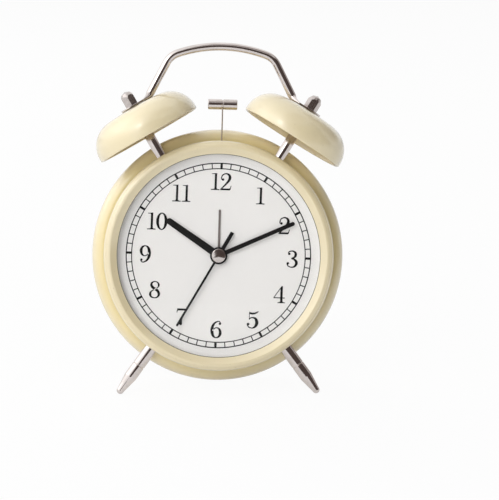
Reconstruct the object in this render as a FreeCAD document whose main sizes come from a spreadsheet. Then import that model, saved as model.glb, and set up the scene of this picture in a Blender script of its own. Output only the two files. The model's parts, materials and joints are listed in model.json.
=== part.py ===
"""Twin bell alarm clock, in millimetres.

Every piece is drawn in the clock's upright frame: X to the right as the dial is read, Y from the
bezel's crest towards the rear, Z up, with the dial's axis along Y through the origin. At the end
all pieces lean back together, because the clock stands on its two legs and its rear rim.
"""
import FreeCAD, Part
import math
import os

import Sketcher
from FreeCAD import Placement, Rotation, Vector

doc = FreeCAD.newDocument("alarm_clock")

# Driving dimensions: name, millimetres or degrees, meaning
SIZES = (
    ("case_dia", 120.2, "case, widest diameter"),
    ("case_wall", 0.8, "case, sheet thickness"),
    ("case_back", 42.0, "rear rim, depth behind the bezel's crest"),
    ("case_shoulder", 5.5, "case, radius of the front shoulder"),
    ("case_rear_round", 2.5, "case, radius of the rolled rear rim"),
    ("neck_dia", 104.0, "neck between bezel and case"),
    ("neck_depth", 11.5, "depth of the plane of legs, posts and hammer"),
    ("neck_width", 9.0, "free width of the neck"),
    ("bezel_over", 2.4, "bezel, outwards of the neck"),
    ("bezel_inward", 3.85, "bezel, inwards of the neck, over the glass"),
    ("bezel_shoulder", 3.1, "bezel, radius of the rounded front"),
    ("bezel_lip", 0.6, "bezel, thickness at its inner edge"),
    ("fit", 0.05, "gap in a running or push fit"),
    ("slack", 0.3, "gap round loose and moving covers"),
    ("glass_depth", 2.8, "front of the glass"),
    ("glass_thick", 1.2, "glass"),
    ("gasket_lip", 0.25, "gasket, what shows inside the bezel"),
    ("gasket_thick", 0.2, "gasket under the bezel's edge"),
    ("dial_depth", 7.3, "front of the dial"),
    ("dial_thick", 0.4, "dial plate"),
    ("dial_turn", 2.0, "dial and movement, turned clockwise in the case"),
    ("spacer_wall", 2.7, "ring that holds the dial off the glass"),
    # hands
    ("second_angle", 210.9, "second hand, clockwise from the top"),
    ("second_length", 38.9, "second hand, axis to tip"),
    ("second_width", 0.7, "second hand"),
    ("second_tail", 12.8, "second hand, axis to the tail's end"),
    ("second_tail_width", 1.4, "second hand, tail"),
    ("second_disc", 8.2, "second hand, disc over the axis"),
    ("minute_angle", 66.9, "minute hand, clockwise from the top"),
    ("minute_length", 38.8, "minute hand"),
    ("minute_width", 1.65, "minute hand"),
    ("hour_angle", 305.0, "hour hand, clockwise from the top"),
    ("hour_length", 29.3, "hour hand"),
    ("hour_width", 2.8, "hour hand"),
    ("alarm_angle", 1.6, "alarm hand, clockwise from the top"),
    ("alarm_length", 21.8, "alarm hand"),
    ("alarm_width", 0.9, "alarm hand"),
    ("hand_thick", 0.2, "sheet of the hands"),
    ("hand_step", 0.6, "depth from one hand to the next"),
    ("hand_hub", 6.0, "hub of the lower hands"),
    ("cap_dia", 6.6, "polished cap on the second hand"),
    ("cap_rise", 0.45, "polished cap, height"),
    # nested arbor and pipes
    ("arbor_dia", 0.9, "seconds arbor"),
    ("pipe_wall", 0.5, "wall of the pipes"),
    ("bush_dia", 6.8, "bush round the pipes"),
    # movement
    ("movement_width", 54.0, "movement housing"),
    ("movement_top", 30.5, "movement housing above the axis"),
    ("movement_bottom", 26.0, "movement housing below the axis"),
    ("movement_thick", 15.3, "movement housing, front to back"),
    ("movement_joint", 7.3, "front half of the housing"),
    ("movement_wall", 1.0, "movement housing"),
    ("wheel_thick", 0.8, "toothed wheels"),
    ("wheel_step", 1.6, "depth from one wheel to the next"),
    ("shaft_offset", 12.0, "setting shafts, from the axis"),
    ("shaft_dia", 2.0, "setting shafts"),
    ("pivot_dia", 0.8, "pivots of the small wheels"),
    ("train_gap", 0.416, "third wheel's shaft, below the teeth of the hour wheel"),
    ("rotor_offset", 8.25, "rotor, from the axis"),
    ("rotor_dia", 4.4, "rotor magnet"),
    ("board_gap", 3.4, "circuit board, from the time shaft"),
    # hammer
    ("hammer_pivot", 27.0, "hammer pivot, above the axis"),
    ("hammer_rest", -0.5, "hammer at rest, turned from the movement's upright"),
    ("head_over", 6.1, "middle of the hammer's head, beyond the bells' rims"),
    ("wire_dia", 0.65, "hammer wire"),
    ("head_dia", 5.0, "hammer head"),
    ("head_swing", 4.516, "hammer head, way to each bell when upright"),
    ("pin_dia", 1.5, "hammer pivot pin"),
    ("cam_drop", 8.0, "cam axis below the hammer pivot"),
    ("cam_dia", 3.2, "cam"),
    ("cam_throw", 0.8, "cam, off its axis"),
    ("motor_dia", 12.0, "bell motor"),
    # bells
    ("bell_dia", 52.2, "bell rim"),
    ("bell_over", 5.6, "bell rim, beyond the case"),
    ("bell_skirt", 1.8, "straight wall at the rim"),
    ("bell_shoulder", 13.0, "radius of the bell's shoulder"),
    ("bell_crown", 150.0, "radius of the bell's crown"),
    ("bell_wall", 0.9, "bell sheet"),
    ("bell_angle", 31.0, "bell posts, from the middle between them"),
    ("top_turn", 1.1, "bells and handle, turned clockwise on the case"),
    ("post_dia", 4.9, "bell post"),
    ("stud_dia", 3.0, "threaded ends of the bell posts"),
    ("cap_nut_width", 6.0, "cap nut, across flats"),
    ("cap_nut_height", 7.4, "cap nut"),
    ("cap_nut_hex", 5.0, "cap nut, straight part"),
    ("inner_nut_width", 5.5, "post nut, across flats"),
    ("inner_nut_thick", 2.4, "post nut"),
    # handle
    ("handle_rod", 3.9, "handle, rod"),
    ("handle_over", 35.5, "handle, top beyond the bells' rims"),
    ("handle_crown", 63.0, "handle, radius of the top"),
    ("handle_corner", 9.5, "handle, radius of the corners"),
    ("handle_splay", 27.2, "handle, its sides from the vertical"),
    ("handle_bend", 8.4, "handle, from the bell's axis to the bend"),
    ("tab_thick", 1.0, "handle, flattened end"),
    ("tab_width", 10.0, "handle, flattened end"),
    ("tab_past", 0.9, "straight part of the flattened end past the stud"),
    # legs
    ("leg_angle", 36.0, "legs, from straight down"),
    ("leg_dia", 6.0, "leg"),
    ("leg_tip_dia", 3.5, "leg, rounded tip"),
    ("leg_past", 21.0, "leg tip, beyond the case"),
    ("leg_groove_past", 4.2, "groove round the leg, beyond the case"),
    ("leg_groove", 0.5, "groove round the leg, width"),
    ("leg_taper_past", 11.2, "start of the leg's taper, beyond the case"),
    ("leg_stud", 4.0, "threaded end of the leg"),
    ("leg_nut_width", 7.0, "leg nut, across flats"),
    ("leg_nut_thick", 2.8, "leg nut"),
    ("stud_length", 5.5, "threaded ends inside the neck"),
    # rear
    ("panel_depth", 38.5, "rear cover, outer face"),
    ("panel_thick", 2.4, "rear cover"),
    ("lug_width", 8.0, "lugs for the rear cover's screws"),
    ("lug_length", 6.0, "lugs, towards the axis"),
    ("lug_angle", 115.0, "lower lugs, from the top"),
    ("screw_dia", 2.4, "cover screws"),
    ("screw_head", 4.8, "cover screws, head"),
    ("screw_length", 5.0, "cover screws"),
    ("bay_length", 55.8, "battery bay, inside"),
    ("bay_height", 15.4, "battery bay, inside"),
    ("bay_deep", 17.2, "battery bay, inside"),
    ("bay_drop", 37.7, "battery's axis below the dial's"),
    ("bay_wall", 1.0, "battery bay"),
    ("cell_dia", 14.2, "battery cell"),
    ("cell_length", 49.2, "battery cell, body"),
    ("cell_nub", 1.3, "battery cell, its terminal"),
    ("door_thick", 1.5, "battery cover"),
    ("door_margin", 1.5, "battery cover over the bay's edge"),
    ("door_pin", 1.2, "battery cover, hinge pins"),
    ("knob_dia", 11.0, "setting knobs"),
    ("knob_height", 4.4, "setting knobs"),
    ("knob_flutes", 20, "flutes round a setting knob"),
    ("switch_height", 22.0, "alarm switch, above the axis"),
    ("switch_travel", 5.0, "alarm switch, travel"),
)

sheet = doc.addObject("Spreadsheet::Sheet", "sizes")
for row, (alias, number, meaning) in enumerate(SIZES, start=1):
    sheet.set(f"A{row}", meaning)
    sheet.set(f"B{row}", str(number))
    sheet.setAlias(f"B{row}", alias)
doc.recompute()


class Size:
    """A number together with the formula on the sheet that gives it."""

    def __init__(self, number, formula):
        self.number = float(number)
        self.formula = formula

    def __neg__(self):
        return Size(-self.number, f"(0 - {self.formula})")

    def __add__(self, other):
        other = size(other)
        return Size(self.number + other.number, f"({self.formula} + {other.formula})")

    def __sub__(self, other):
        other = size(other)
        return Size(self.number - other.number, f"({self.formula} - {other.formula})")

    def __mul__(self, other):
        other = size(other)
        return Size(self.number * other.number, f"({self.formula} * {other.formula})")

    def __truediv__(self, other):
        other = size(other)
        return Size(self.number / other.number, f"({self.formula} / {other.formula})")

    def __radd__(self, other):
        return size(other) + self

    def __rsub__(self, other):
        return size(other) - self

    def __rmul__(self, other):
        return size(other) * self


def size(value):
    return value if isinstance(value, Size) else Size(value, repr(float(value)))


def root(value):
    return Size(math.sqrt(value.number), f"sqrt({value.formula})")


def sine(angle):
    return Size(math.sin(math.radians(angle.number)), f"sin({angle.formula})")


def cosine(angle):
    return Size(math.cos(math.radians(angle.number)), f"cos({angle.formula})")


class Sheet:
    """The driving dimensions by name."""


s = Sheet()
for alias, number, meaning in SIZES:
    setattr(s, alias, Size(sheet.get(alias), f"sizes.{alias}"))

pieces = {}


# Placements in the upright frame

def at(across=0, depth=0, up=0, turn=0):
    """A place in the upright frame, with the piece turned clockwise as the dial is read."""
    base = Vector(size(across).number, size(depth).number, size(up).number)
    return Placement(base, Rotation(Vector(0, 1, 0), size(turn).number))


def radial(angle):
    """On the neck, with the piece's own Z pointing out from the dial's axis at a clock angle."""
    return at(depth=s.neck_depth, turn=angle)


def on_top(sign):
    """On the neck under the left bell (-1) or the right one (1), with Z pointing out."""
    return radial(s.top_turn + s.bell_angle * sign)


UPRIGHT = at()
TURNED = at(turn=s.dial_turn)
SIDES = {"left": -1, "right": 1}


def keep(name, piece, placement=UPRIGHT):
    """Names a finished piece, and puts it in its place on the upright clock."""
    piece.Label = name
    piece.Placement = placement
    pieces[name] = piece
    return piece


# Sketches and features

def bind(thing, path, value):
    thing.setExpression(path, size(value).formula)


def new_sketch(body, plane, offset=0, placement=None):
    """A sketch on one of the body's own planes, moved along its normal or to a place of its own."""
    sketch = body.newObject("Sketcher::SketchObject", "sketch")
    support = [plane_ for plane_ in body.Origin.OriginFeatures if plane_.Role == plane]
    sketch.AttachmentSupport = [(support[0], "")]
    sketch.MapMode = "FlatFace"
    if placement:
        across, up, turn = placement
        sketch.AttachmentOffset = Placement(Vector(), Rotation(Vector(0, 1, 0), turn.number))
        bind(sketch, "AttachmentOffset.Base.x", across)
        bind(sketch, "AttachmentOffset.Base.z", up)
        bind(sketch, "AttachmentOffset.Rotation.Angle", turn)
    else:
        bind(sketch, "AttachmentOffset.Base.z", offset)
    return sketch


def pin_coordinate(sketch, edge, end, which, value):
    """Ties one point of a sketch to one coordinate: 0 is across, 1 is up."""
    value = size(value)
    if abs(value.number) < 1e-9:
        sketch.addConstraint(Sketcher.Constraint("PointOnObject", edge, end, (-2, -1)[which]))
        return
    kind = ("DistanceX", "DistanceY")[which]
    place = sketch.addConstraint(Sketcher.Constraint(kind, -1, 1, edge, end, value.number))
    bind(sketch, f"Constraints[{place}]", value)


def pin_point(sketch, edge, end, across, up):
    pin_coordinate(sketch, edge, end, 0, across)
    pin_coordinate(sketch, edge, end, 1, up)


def set_radius(sketch, edge, radius):
    place = sketch.addConstraint(Sketcher.Constraint("Radius", edge, size(radius).number))
    bind(sketch, f"Constraints[{place}]", radius)


def draw_path(sketch, corners, closed=True):
    """Lines and arcs from corner to corner. A corner is (across, up), or (across, up, radius, side)
    where an arc leads on to the next one, bulging to the left (+1) or right (-1) of the way."""
    points = [Vector(size(corner[0]).number, size(corner[1]).number, 0) for corner in corners]
    count = len(corners) if closed else len(corners) - 1
    ends = []
    edges = []
    arcs = []
    for index in range(count):
        start = points[index]
        finish = points[(index + 1) % len(points)]
        if len(corners[index]) == 2:
            edge = sketch.addGeometry(Part.LineSegment(start, finish), False)
            ends.append((1, 2))
        else:
            radius = size(corners[index][2]).number
            side = corners[index][3]
            along = finish - start
            half = along.Length / 2
            left = Vector(-along.y, along.x, 0).normalize()
            centre = (start + finish) / 2 - left * side * math.sqrt(radius ** 2 - half ** 2)
            first, last = (finish, start) if side > 0 else (start, finish)
            angles = [math.atan2(point.y - centre.y, point.x - centre.x) for point in (first, last)]
            circle = Part.Circle(centre, Vector(0, 0, 1), radius)
            edge = sketch.addGeometry(Part.ArcOfCircle(circle, angles[0], angles[1]), False)
            ends.append((2, 1) if side > 0 else (1, 2))
            arcs.append((index, edge, radius - half < 1e-6))
        edges.append(edge)
    joins = count if closed else count - 1
    for index in range(joins):
        after = (index + 1) % count
        sketch.addConstraint(
            Sketcher.Constraint("Coincident", edges[index], ends[index][1], edges[after], ends[after][0]))
    for index in range(count):
        pin_point(sketch, edges[index], ends[index][0], corners[index][0], corners[index][1])
    if not closed:
        pin_point(sketch, edges[-1], ends[-1][1], corners[-1][0], corners[-1][1])
    for index, edge, half_circle in arcs:
        if not half_circle:
            set_radius(sketch, edge, corners[index][2])
            continue
        # a half circle is held by its centre, midway between its ends
        start, finish = corners[index], corners[(index + 1) % len(corners)]
        step = points[(index + 1) % len(points)] - points[index]
        which = 0 if abs(step.y) > abs(step.x) else 1
        middle = (size(start[which]) + size(finish[which])) / 2
        pin_coordinate(sketch, edge, 3, which, middle)


def draw_circle(sketch, across, up, diameter):
    centre = Vector(size(across).number, size(up).number, 0)
    edge = sketch.addGeometry(Part.Circle(centre, Vector(0, 0, 1), size(diameter).number / 2), False)
    pin_point(sketch, edge, 3, across, up)
    set_radius(sketch, edge, diameter / 2)


def draw_box(sketch, left, bottom, right, top):
    draw_path(sketch, [(left, bottom), (right, bottom), (right, top), (left, top)])


def draw_slot(sketch, width, low, high):
    """An upright bar about the axis, round at both ends."""
    half = width / 2
    draw_path(sketch, [
        (half, low, half, -1), (-half, low), (-half, high, half, -1), (half, high)])


def new_body(name):
    return doc.addObject("PartDesign::Body", name)


def lathe(name, corners, about="Z"):
    """A turned piece, from its outline of (radius, place along its axis)."""
    body = new_body(name)
    sketch = new_sketch(body, "XZ_Plane" if about == "Z" else "XY_Plane")
    draw_path(sketch, corners)
    turning = body.newObject("PartDesign::Revolution", "turning")
    turning.Profile = sketch
    turning.ReferenceAxis = (sketch, ["V_Axis"])
    turning.Angle = 360
    return body


def face_sketch(body, depth):
    """A sketch facing the reader, across and up as the dial is read, at a depth."""
    return new_sketch(body, "XZ_Plane", offset=-depth)


def pad(body, sketch, thickness):
    feature = body.newObject("PartDesign::Pad", "pad")
    feature.Profile = sketch
    feature.Reversed = True
    bind(feature, "Length", thickness)
    return feature


def pocket(body, sketch, depth):
    feature = body.newObject("PartDesign::Pocket", "pocket")
    feature.Profile = sketch
    bind(feature, "Length", depth)
    return feature


def boxed(body, depth, thickness, left, bottom, right, top, cut=False):
    """Adds a block to the body, or cuts one from it."""
    sketch = face_sketch(body, depth)
    draw_box(sketch, left, bottom, right, top)
    return pocket(body, sketch, thickness) if cut else pad(body, sketch, thickness)


def disc(body, depth, thickness, diameter, across=0, up=0, cut=False):
    sketch = face_sketch(body, depth)
    draw_circle(sketch, across, up, size(diameter))
    return pocket(body, sketch, thickness) if cut else pad(body, sketch, thickness)


def rod(name, diameter, length, placement):
    """A plain round bar along its own Z, for a shaft or to cut a hole."""
    bar = doc.addObject("Part::Cylinder", name)
    bind(bar, "Radius", size(diameter) / 2)
    bind(bar, "Height", length)
    bar.Placement = placement
    return bar


def depth_rod(name, diameter, depth, length, across=0, up=0, module=UPRIGHT):
    """A round bar along Y, from a depth towards the rear."""
    start = at(across, depth, up)
    return rod(name, diameter, length, module * start * Placement(Vector(), Rotation(Vector(1, 0, 0), -90)))


def join(name, parts):
    whole = doc.addObject("Part::MultiFuse", name)
    whole.Shapes = parts
    return whole


def cut(name, base, tools):
    result = doc.addObject("Part::Cut", name)
    result.Base = base
    result.Tool = tools[0] if len(tools) == 1 else join(name + "_holes", tools)
    return result


def group(name, parts):
    whole = doc.addObject("Part::Compound", name)
    whole.Links = parts
    return whole


def hexagon(name, across_flats, height, placement):
    prism = doc.addObject("Part::Prism", name)
    prism.Polygon = 6
    bind(prism, "Circumradius", across_flats / math.sqrt(3))
    bind(prism, "Height", height)
    prism.Placement = placement
    return prism


# Places that several pieces share
case_r = s.case_dia / 2
neck_r = s.neck_dia / 2
neck_inner_r = neck_r - s.case_wall
neck_front = s.neck_depth - s.neck_width / 2
neck_rear = s.neck_depth + s.neck_width / 2
glass_rear = s.glass_depth + s.glass_thick
dial_rear = s.dial_depth + s.dial_thick
panel_inner = s.panel_depth - s.panel_thick
movement_front = dial_rear
movement_rear = movement_front + s.movement_thick
cavity_front = movement_front + s.movement_wall
cavity_rear = movement_rear - s.movement_wall
bezel_r = neck_r + s.bezel_over
window_r = neck_r - s.bezel_inward
bell_rim = case_r + s.bell_over
handle_top = bell_rim + s.handle_over
hammer_reach = bell_rim + s.head_over - s.hammer_pivot
leg_reach = case_r + s.leg_past
groove_at = case_r + s.leg_groove_past
taper_at = case_r + s.leg_taper_past


# Case, bezel, glass and dial

def make_case():
    """One drawn shell: narrow neck, rounded shoulder, drum and rolled rear rim, with three lugs."""
    inner_shoulder = s.case_shoulder - s.case_wall
    inner_round = s.case_rear_round - s.case_wall
    shoulder_r = case_r - s.case_shoulder
    drum_front = neck_rear + s.case_shoulder
    drum_rear = s.case_back - s.case_rear_round
    rim_r = case_r - s.case_rear_round
    inner_r = case_r - s.case_wall
    shell = lathe("case_shell", [
        (neck_r, s.glass_depth),
        (neck_r, neck_rear),
        (shoulder_r, neck_rear, s.case_shoulder, -1),
        (case_r, drum_front),
        (case_r, drum_rear, s.case_rear_round, -1),
        (rim_r, s.case_back),
        (rim_r, s.case_back - s.case_wall, inner_round, 1),
        (inner_r, drum_rear),
        (inner_r, drum_front, inner_shoulder, 1),
        (shoulder_r, neck_rear + s.case_wall),
        (neck_inner_r, neck_rear + s.case_wall),
        (neck_inner_r, s.glass_depth),
    ], about="Y")
    parts = [shell]
    holes = []
    for index, angle in enumerate(lug_angles()):
        lug = new_body(f"lug_{index}")
        boxed(lug, panel_inner - s.case_wall, s.case_wall, -s.lug_width / 2, inner_r - s.lug_length,
              s.lug_width / 2, inner_r + s.case_wall / 4)
        lug.Placement = at(turn=angle)
        parts.append(lug)
        holes.append(depth_rod("lug_hole", s.screw_dia, panel_inner - s.case_wall, s.case_wall,
                               up=screw_r(), module=at(turn=angle)))
    for side in SIDES.values():
        holes.append(rod("post_hole", s.stud_dia, s.case_wall * 4,
                         on_top(side) * at(up=neck_inner_r - s.case_wall)))
        holes.append(rod("leg_hole", s.leg_stud, s.case_wall * 4,
                         radial(180 - s.leg_angle * side) * at(up=neck_inner_r - s.case_wall)))
    slot = new_body("hammer_slot")
    sketch = new_sketch(slot, "XY_Plane", offset=neck_inner_r - s.case_wall)
    draw_box(sketch, -hammer_swing, s.neck_depth - s.wire_dia * 2, hammer_swing,
             s.neck_depth + s.wire_dia * 2)
    opening = slot.newObject("PartDesign::Pad", "opening")
    opening.Profile = sketch
    bind(opening, "Length", s.case_wall * 4)
    slot.Placement = TURNED
    holes.append(slot)
    keep("case_drum", cut("case_drum", join("case_parts", parts), holes))


def lug_angles():
    return [size(0), s.lug_angle, -s.lug_angle]


def screw_r():
    """Screws of the rear cover, from the axis."""
    return case_r - s.case_wall - s.lug_length / 2 - s.slack * 4


def make_bezel():
    crest_r = bezel_r - s.bezel_shoulder
    keep("front_bezel", lathe("front_bezel", [
        (window_r, s.glass_depth - s.gasket_thick),
        (window_r, s.glass_depth - s.gasket_thick - s.bezel_lip),
        (crest_r, 0, s.bezel_shoulder, -1),
        (bezel_r, s.bezel_shoulder),
        (bezel_r, neck_front),
        (neck_r + s.fit, neck_front),
        (neck_r + s.fit, s.glass_depth - s.gasket_thick),
    ], about="Y"))


def make_front_stack():
    """Gasket, glass, spacer ring and dial, stacked inside the neck."""
    stack_r = neck_inner_r - s.fit
    ring = [(stack_r, s.glass_depth - s.gasket_thick), (stack_r, s.glass_depth),
            (window_r - s.gasket_lip, s.glass_depth),
            (window_r - s.gasket_lip, s.glass_depth - s.gasket_thick)]
    keep("glass_gasket", lathe("glass_gasket", ring, about="Y"))
    glass = new_body("glass_lens")
    disc(glass, s.glass_depth, s.glass_thick, stack_r * 2)
    keep("glass_lens", glass)
    inner_r = stack_r - s.spacer_wall
    keep("dial_spacer", lathe("dial_spacer", [
        (inner_r, glass_rear), (stack_r, glass_rear), (stack_r, s.dial_depth), (inner_r, s.dial_depth),
    ], about="Y"))
    dial = new_body("dial_plate")
    disc(dial, s.dial_depth, s.dial_thick, stack_r * 2)
    disc(dial, s.dial_depth, s.dial_thick, s.bush_dia + s.fit * 4, cut=True)
    keep("dial_plate", dial, TURNED)


# Bells, posts, handle and legs

def bell_outline(inset):
    """The outer line of a bell from rim to axis, moved inwards by the inset."""
    shoulder = s.bell_shoulder - inset
    crown = s.bell_crown - inset
    swing = (s.bell_dia / 2 - s.bell_shoulder) / (s.bell_crown - s.bell_shoulder)
    upright = root(1 - swing * swing)
    skirt_top = bell_rim + s.bell_skirt
    join_r = crown * swing
    join_height = skirt_top + shoulder * upright
    top = join_height + crown * (1 - upright)
    return [(s.bell_dia / 2 - inset, skirt_top, shoulder, -1), (join_r, join_height, crown, -1)], top


bell_top = bell_outline(size(0))[1]
bell_inner_top = bell_outline(s.bell_wall)[1]
tab_height = bell_top
nut_height = tab_height + s.tab_thick


def make_bells():
    rim = bell_rim
    stud_r = s.stud_dia / 2
    outer, top = bell_outline(size(0))
    inner, inner_top = bell_outline(s.bell_wall)
    # the inner line runs back from the axis to the rim, so its arcs bulge the other way
    back = [(0, inner_top, inner[1][2], 1), (inner[1][0], inner[1][1], inner[0][2], 1),
            (inner[0][0], inner[0][1])]
    corners = [(s.bell_dia / 2, rim)] + outer + [(0, top)] + back
    corners.append((s.bell_dia / 2 - s.bell_wall, rim))
    for side, sign in SIDES.items():
        bell = lathe(f"{side}_bell_sheet", corners)
        bell.Placement = on_top(sign)
        hole = rod("bell_hole", stud_r * 2, s.bell_wall * 4, on_top(sign) * at(up=top - s.bell_wall * 2))
        keep(f"{side}_bell", cut(f"{side}_bell", bell, [hole]))
        post_top = inner_top - s.fit
        stud_top = nut_height + s.cap_nut_hex - s.slack
        keep(f"{side}_post", lathe(f"{side}_post", [
            (0, neck_r - s.stud_length),
            (stud_r, neck_r - s.stud_length),
            (stud_r, neck_r),
            (s.post_dia / 2, neck_r),
            (s.post_dia / 2, post_top),
            (stud_r, post_top),
            (stud_r, stud_top),
            (0, stud_top),
        ]), on_top(sign))


def make_cap_nuts():
    """Two domed hexagon nuts that hold the bells and the handle."""
    nuts = []
    corner_r = s.cap_nut_width / math.sqrt(3)
    dome_r = s.cap_nut_width / 2
    for sign, facing in ((-1, 30), (1, 0)):
        placement = on_top(sign) * at(up=nut_height)
        spun = placement * Placement(Vector(), Rotation(Vector(0, 0, 1), facing))
        hexa = hexagon("cap_nut_hexagon", s.cap_nut_width, s.cap_nut_height, spun)
        dome_rise = s.cap_nut_height - s.cap_nut_hex
        dome_arc = (dome_r * dome_r + dome_rise * dome_rise) / (2 * dome_rise)
        dome = lathe("cap_nut_dome", [
            (0, 0), (dome_r, 0), (corner_r, corner_r - dome_r), (corner_r, s.cap_nut_hex - s.slack),
            (dome_r, s.cap_nut_hex, dome_arc, -1), (0, s.cap_nut_height)])
        dome.Placement = placement
        shape = doc.addObject("Part::MultiCommon", "cap_nut")
        shape.Shapes = [hexa, dome]
        nuts.append(cut("cap_nut_drilled", shape, [
            rod("cap_nut_thread", s.stud_dia, s.cap_nut_hex, placement)]))
    keep("cap_nuts", group("cap_nuts", nuts))


def make_inner_nuts():
    """Hexagon nuts inside the neck, on the threaded ends of posts and legs."""
    for name, angles, stud, width, thick in (
            ("post_nuts", (s.top_turn + s.bell_angle, s.top_turn - s.bell_angle), s.stud_dia, s.inner_nut_width, s.inner_nut_thick),
            ("leg_nuts", (180 - s.leg_angle, 180 + s.leg_angle), s.leg_stud, s.leg_nut_width,
             s.leg_nut_thick)):
        # the flat face clears the curved wall at the nut's corners
        seat = root(neck_inner_r * neck_inner_r - width * width / 3)
        nuts = []
        for angle in angles:
            placement = radial(angle) * at(up=seat - thick)
            hexa = hexagon(name + "_hexagon", width, thick, placement)
            nuts.append(cut(name + "_drilled", hexa, [rod(name + "_thread", stud, thick, placement)]))
        keep(name, group(name, nuts))


def make_handle():
    """A bent rod whose flattened ends lie on the bells, under the cap nuts."""
    rod_r = s.handle_rod / 2
    axis_x, axis_z = sine(s.bell_angle), cosine(s.bell_angle)
    side_x, side_z = sine(s.handle_splay), cosine(s.handle_splay)
    tab_mid = tab_height + s.tab_thick / 2
    bend_x = axis_x * tab_mid - axis_z * s.handle_bend
    bend_z = axis_z * tab_mid + axis_x * s.handle_bend
    foot_x = bend_x - side_x * s.handle_rod * 0.7
    foot_z = bend_z + side_z * s.handle_rod * 0.7
    # the corner's centre lies inside the side's line and inside the crown's circle
    crown_z = handle_top - rod_r - s.handle_crown
    reach = s.handle_crown - s.handle_corner
    offset = foot_x * side_z + (foot_z - crown_z) * side_x - s.handle_corner
    along = root(reach * reach - offset * offset)
    corner_x = offset * side_z - along * side_x
    corner_z = crown_z + offset * side_x + along * side_z
    side_end_x = corner_x + s.handle_corner * side_z
    side_end_z = corner_z + s.handle_corner * side_x
    top_end_x = corner_x * s.handle_crown / reach
    top_end_z = crown_z + (corner_z - crown_z) * s.handle_crown / reach
    body = new_body("handle_rod")
    spine = new_sketch(body, "XZ_Plane")
    draw_path(spine, [
        (-foot_x, foot_z),
        (-side_end_x, side_end_z, s.handle_corner, 1),
        (-top_end_x, top_end_z, s.handle_crown, 1),
        (top_end_x, top_end_z, s.handle_corner, 1),
        (side_end_x, side_end_z),
        (foot_x, foot_z),
    ], closed=False)
    profile = new_sketch(body, "XY_Plane", placement=(-foot_x, foot_z, s.handle_splay))
    draw_circle(profile, 0, 0, s.handle_rod)
    pipe = body.newObject("PartDesign::AdditivePipe", "rod")
    pipe.Profile = profile
    pipe.Spine = spine
    doc.recompute()

    round_end = new_sketch(body, "XY_Plane", placement=(foot_x, foot_z, -s.handle_splay))
    draw_circle(round_end, 0, 0, s.handle_rod)
    flat_start = s.handle_bend * 0.6
    flat_x = axis_x * tab_mid - axis_z * flat_start
    flat_z = axis_z * tab_mid + axis_x * flat_start
    flat_end = new_sketch(body, "XY_Plane", placement=(flat_x, flat_z, s.bell_angle - 90))
    half_t = s.tab_thick / 2
    reach_y = s.tab_width / 2 - half_t
    draw_path(flat_end, [
        (-half_t, -reach_y, half_t, -1), (half_t, -reach_y), (half_t, reach_y, half_t, -1),
        (-half_t, reach_y)])
    flattened = body.newObject("PartDesign::AdditiveLoft", "flattened")
    flattened.Profile = round_end
    flattened.Sections = [flat_end]
    flattened.Ruled = True
    doc.recompute()

    outline = new_sketch(body, "XY_Plane", placement=(axis_x * tab_height, axis_z * tab_height, s.bell_angle))
    half_w = s.tab_width / 2
    draw_path(outline, [
        (-flat_start, half_w), (-flat_start, -half_w), (s.tab_past, -half_w, half_w, -1),
        (half_w + s.tab_past, 0, half_w, -1), (s.tab_past, half_w)])
    tab = body.newObject("PartDesign::Pad", "tab")
    tab.Profile = outline
    bind(tab, "Length", s.tab_thick)
    doc.recompute()
    mirror = body.newObject("PartDesign::Mirrored", "both_ends")
    mirror.Originals = [flattened, tab]
    plane = [plane_ for plane_ in body.Origin.OriginFeatures if plane_.Role == "YZ_Plane"][0]
    mirror.MirrorPlane = (plane, [""])
    body.Tip = mirror
    body.Placement = at(depth=s.neck_depth, turn=s.top_turn)
    holes = [rod("tab_hole", s.stud_dia, s.tab_thick * 4, on_top(sign)
                 * at(up=tab_height - s.tab_thick)) for sign in SIDES.values()]
    keep("handle", cut("handle", body, holes))


def make_legs():
    """Turned legs with a groove, a taper and a round tip, screwed into the neck."""
    stud_r = s.leg_stud / 2
    leg_r = s.leg_dia / 2
    tip_r = s.leg_tip_dia / 2
    groove_r = leg_r - s.leg_groove / 2
    tip_centre = leg_reach - tip_r
    for side, sign in SIDES.items():
        keep(f"{side}_leg", lathe(f"{side}_leg", [
            (0, neck_r - s.stud_length),
            (stud_r, neck_r - s.stud_length),
            (stud_r, neck_r),
            (leg_r, neck_r),
            (leg_r, groove_at),
            (groove_r, groove_at),
            (groove_r, groove_at + s.leg_groove),
            (leg_r, groove_at + s.leg_groove),
            (leg_r, taper_at),
            (tip_r, tip_centre, tip_r, -1),
            (0, leg_reach),
        ]), radial(180 - s.leg_angle * sign))


# Toothed wheels

def toothed(name, teeth, module, depth, thickness, phase=0, pinion=False):
    """A toothed disc about Y. The first tooth points to +X, turned anticlockwise by the phase."""
    pitch_r = teeth * module / 2
    tip_r = pitch_r + 0.8 * module
    root_r = pitch_r - 1.1 * module
    root_half = (0.55 if pinion else 0.8) * module
    tip_half = (0.4 if pinion else 0.35) * module
    points = []
    for tooth in range(teeth):
        middle = math.radians(phase + 360 * tooth / teeth)
        for radius, half in ((root_r, -root_half), (tip_r, -tip_half), (tip_r, tip_half), (root_r, root_half)):
            angle = middle + math.asin(half / radius)
            points.append(Vector(radius * math.cos(angle), size(depth).number, radius * math.sin(angle)))
    outline = Part.makePolygon(points + points[:1])
    wheel = doc.addObject("Part::Feature", name)
    wheel.Shape = Part.Face(outline).extrude(Vector(0, size(thickness).number, 0))
    return wheel


def shifted(wheel, across, up):
    wheel.Placement = at(across, 0, up)
    return wheel


def layer(index):
    """Depth of the front of a wheel, counted from the front of the movement."""
    return cavity_front + s.hand_step + s.wheel_step * index


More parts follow.
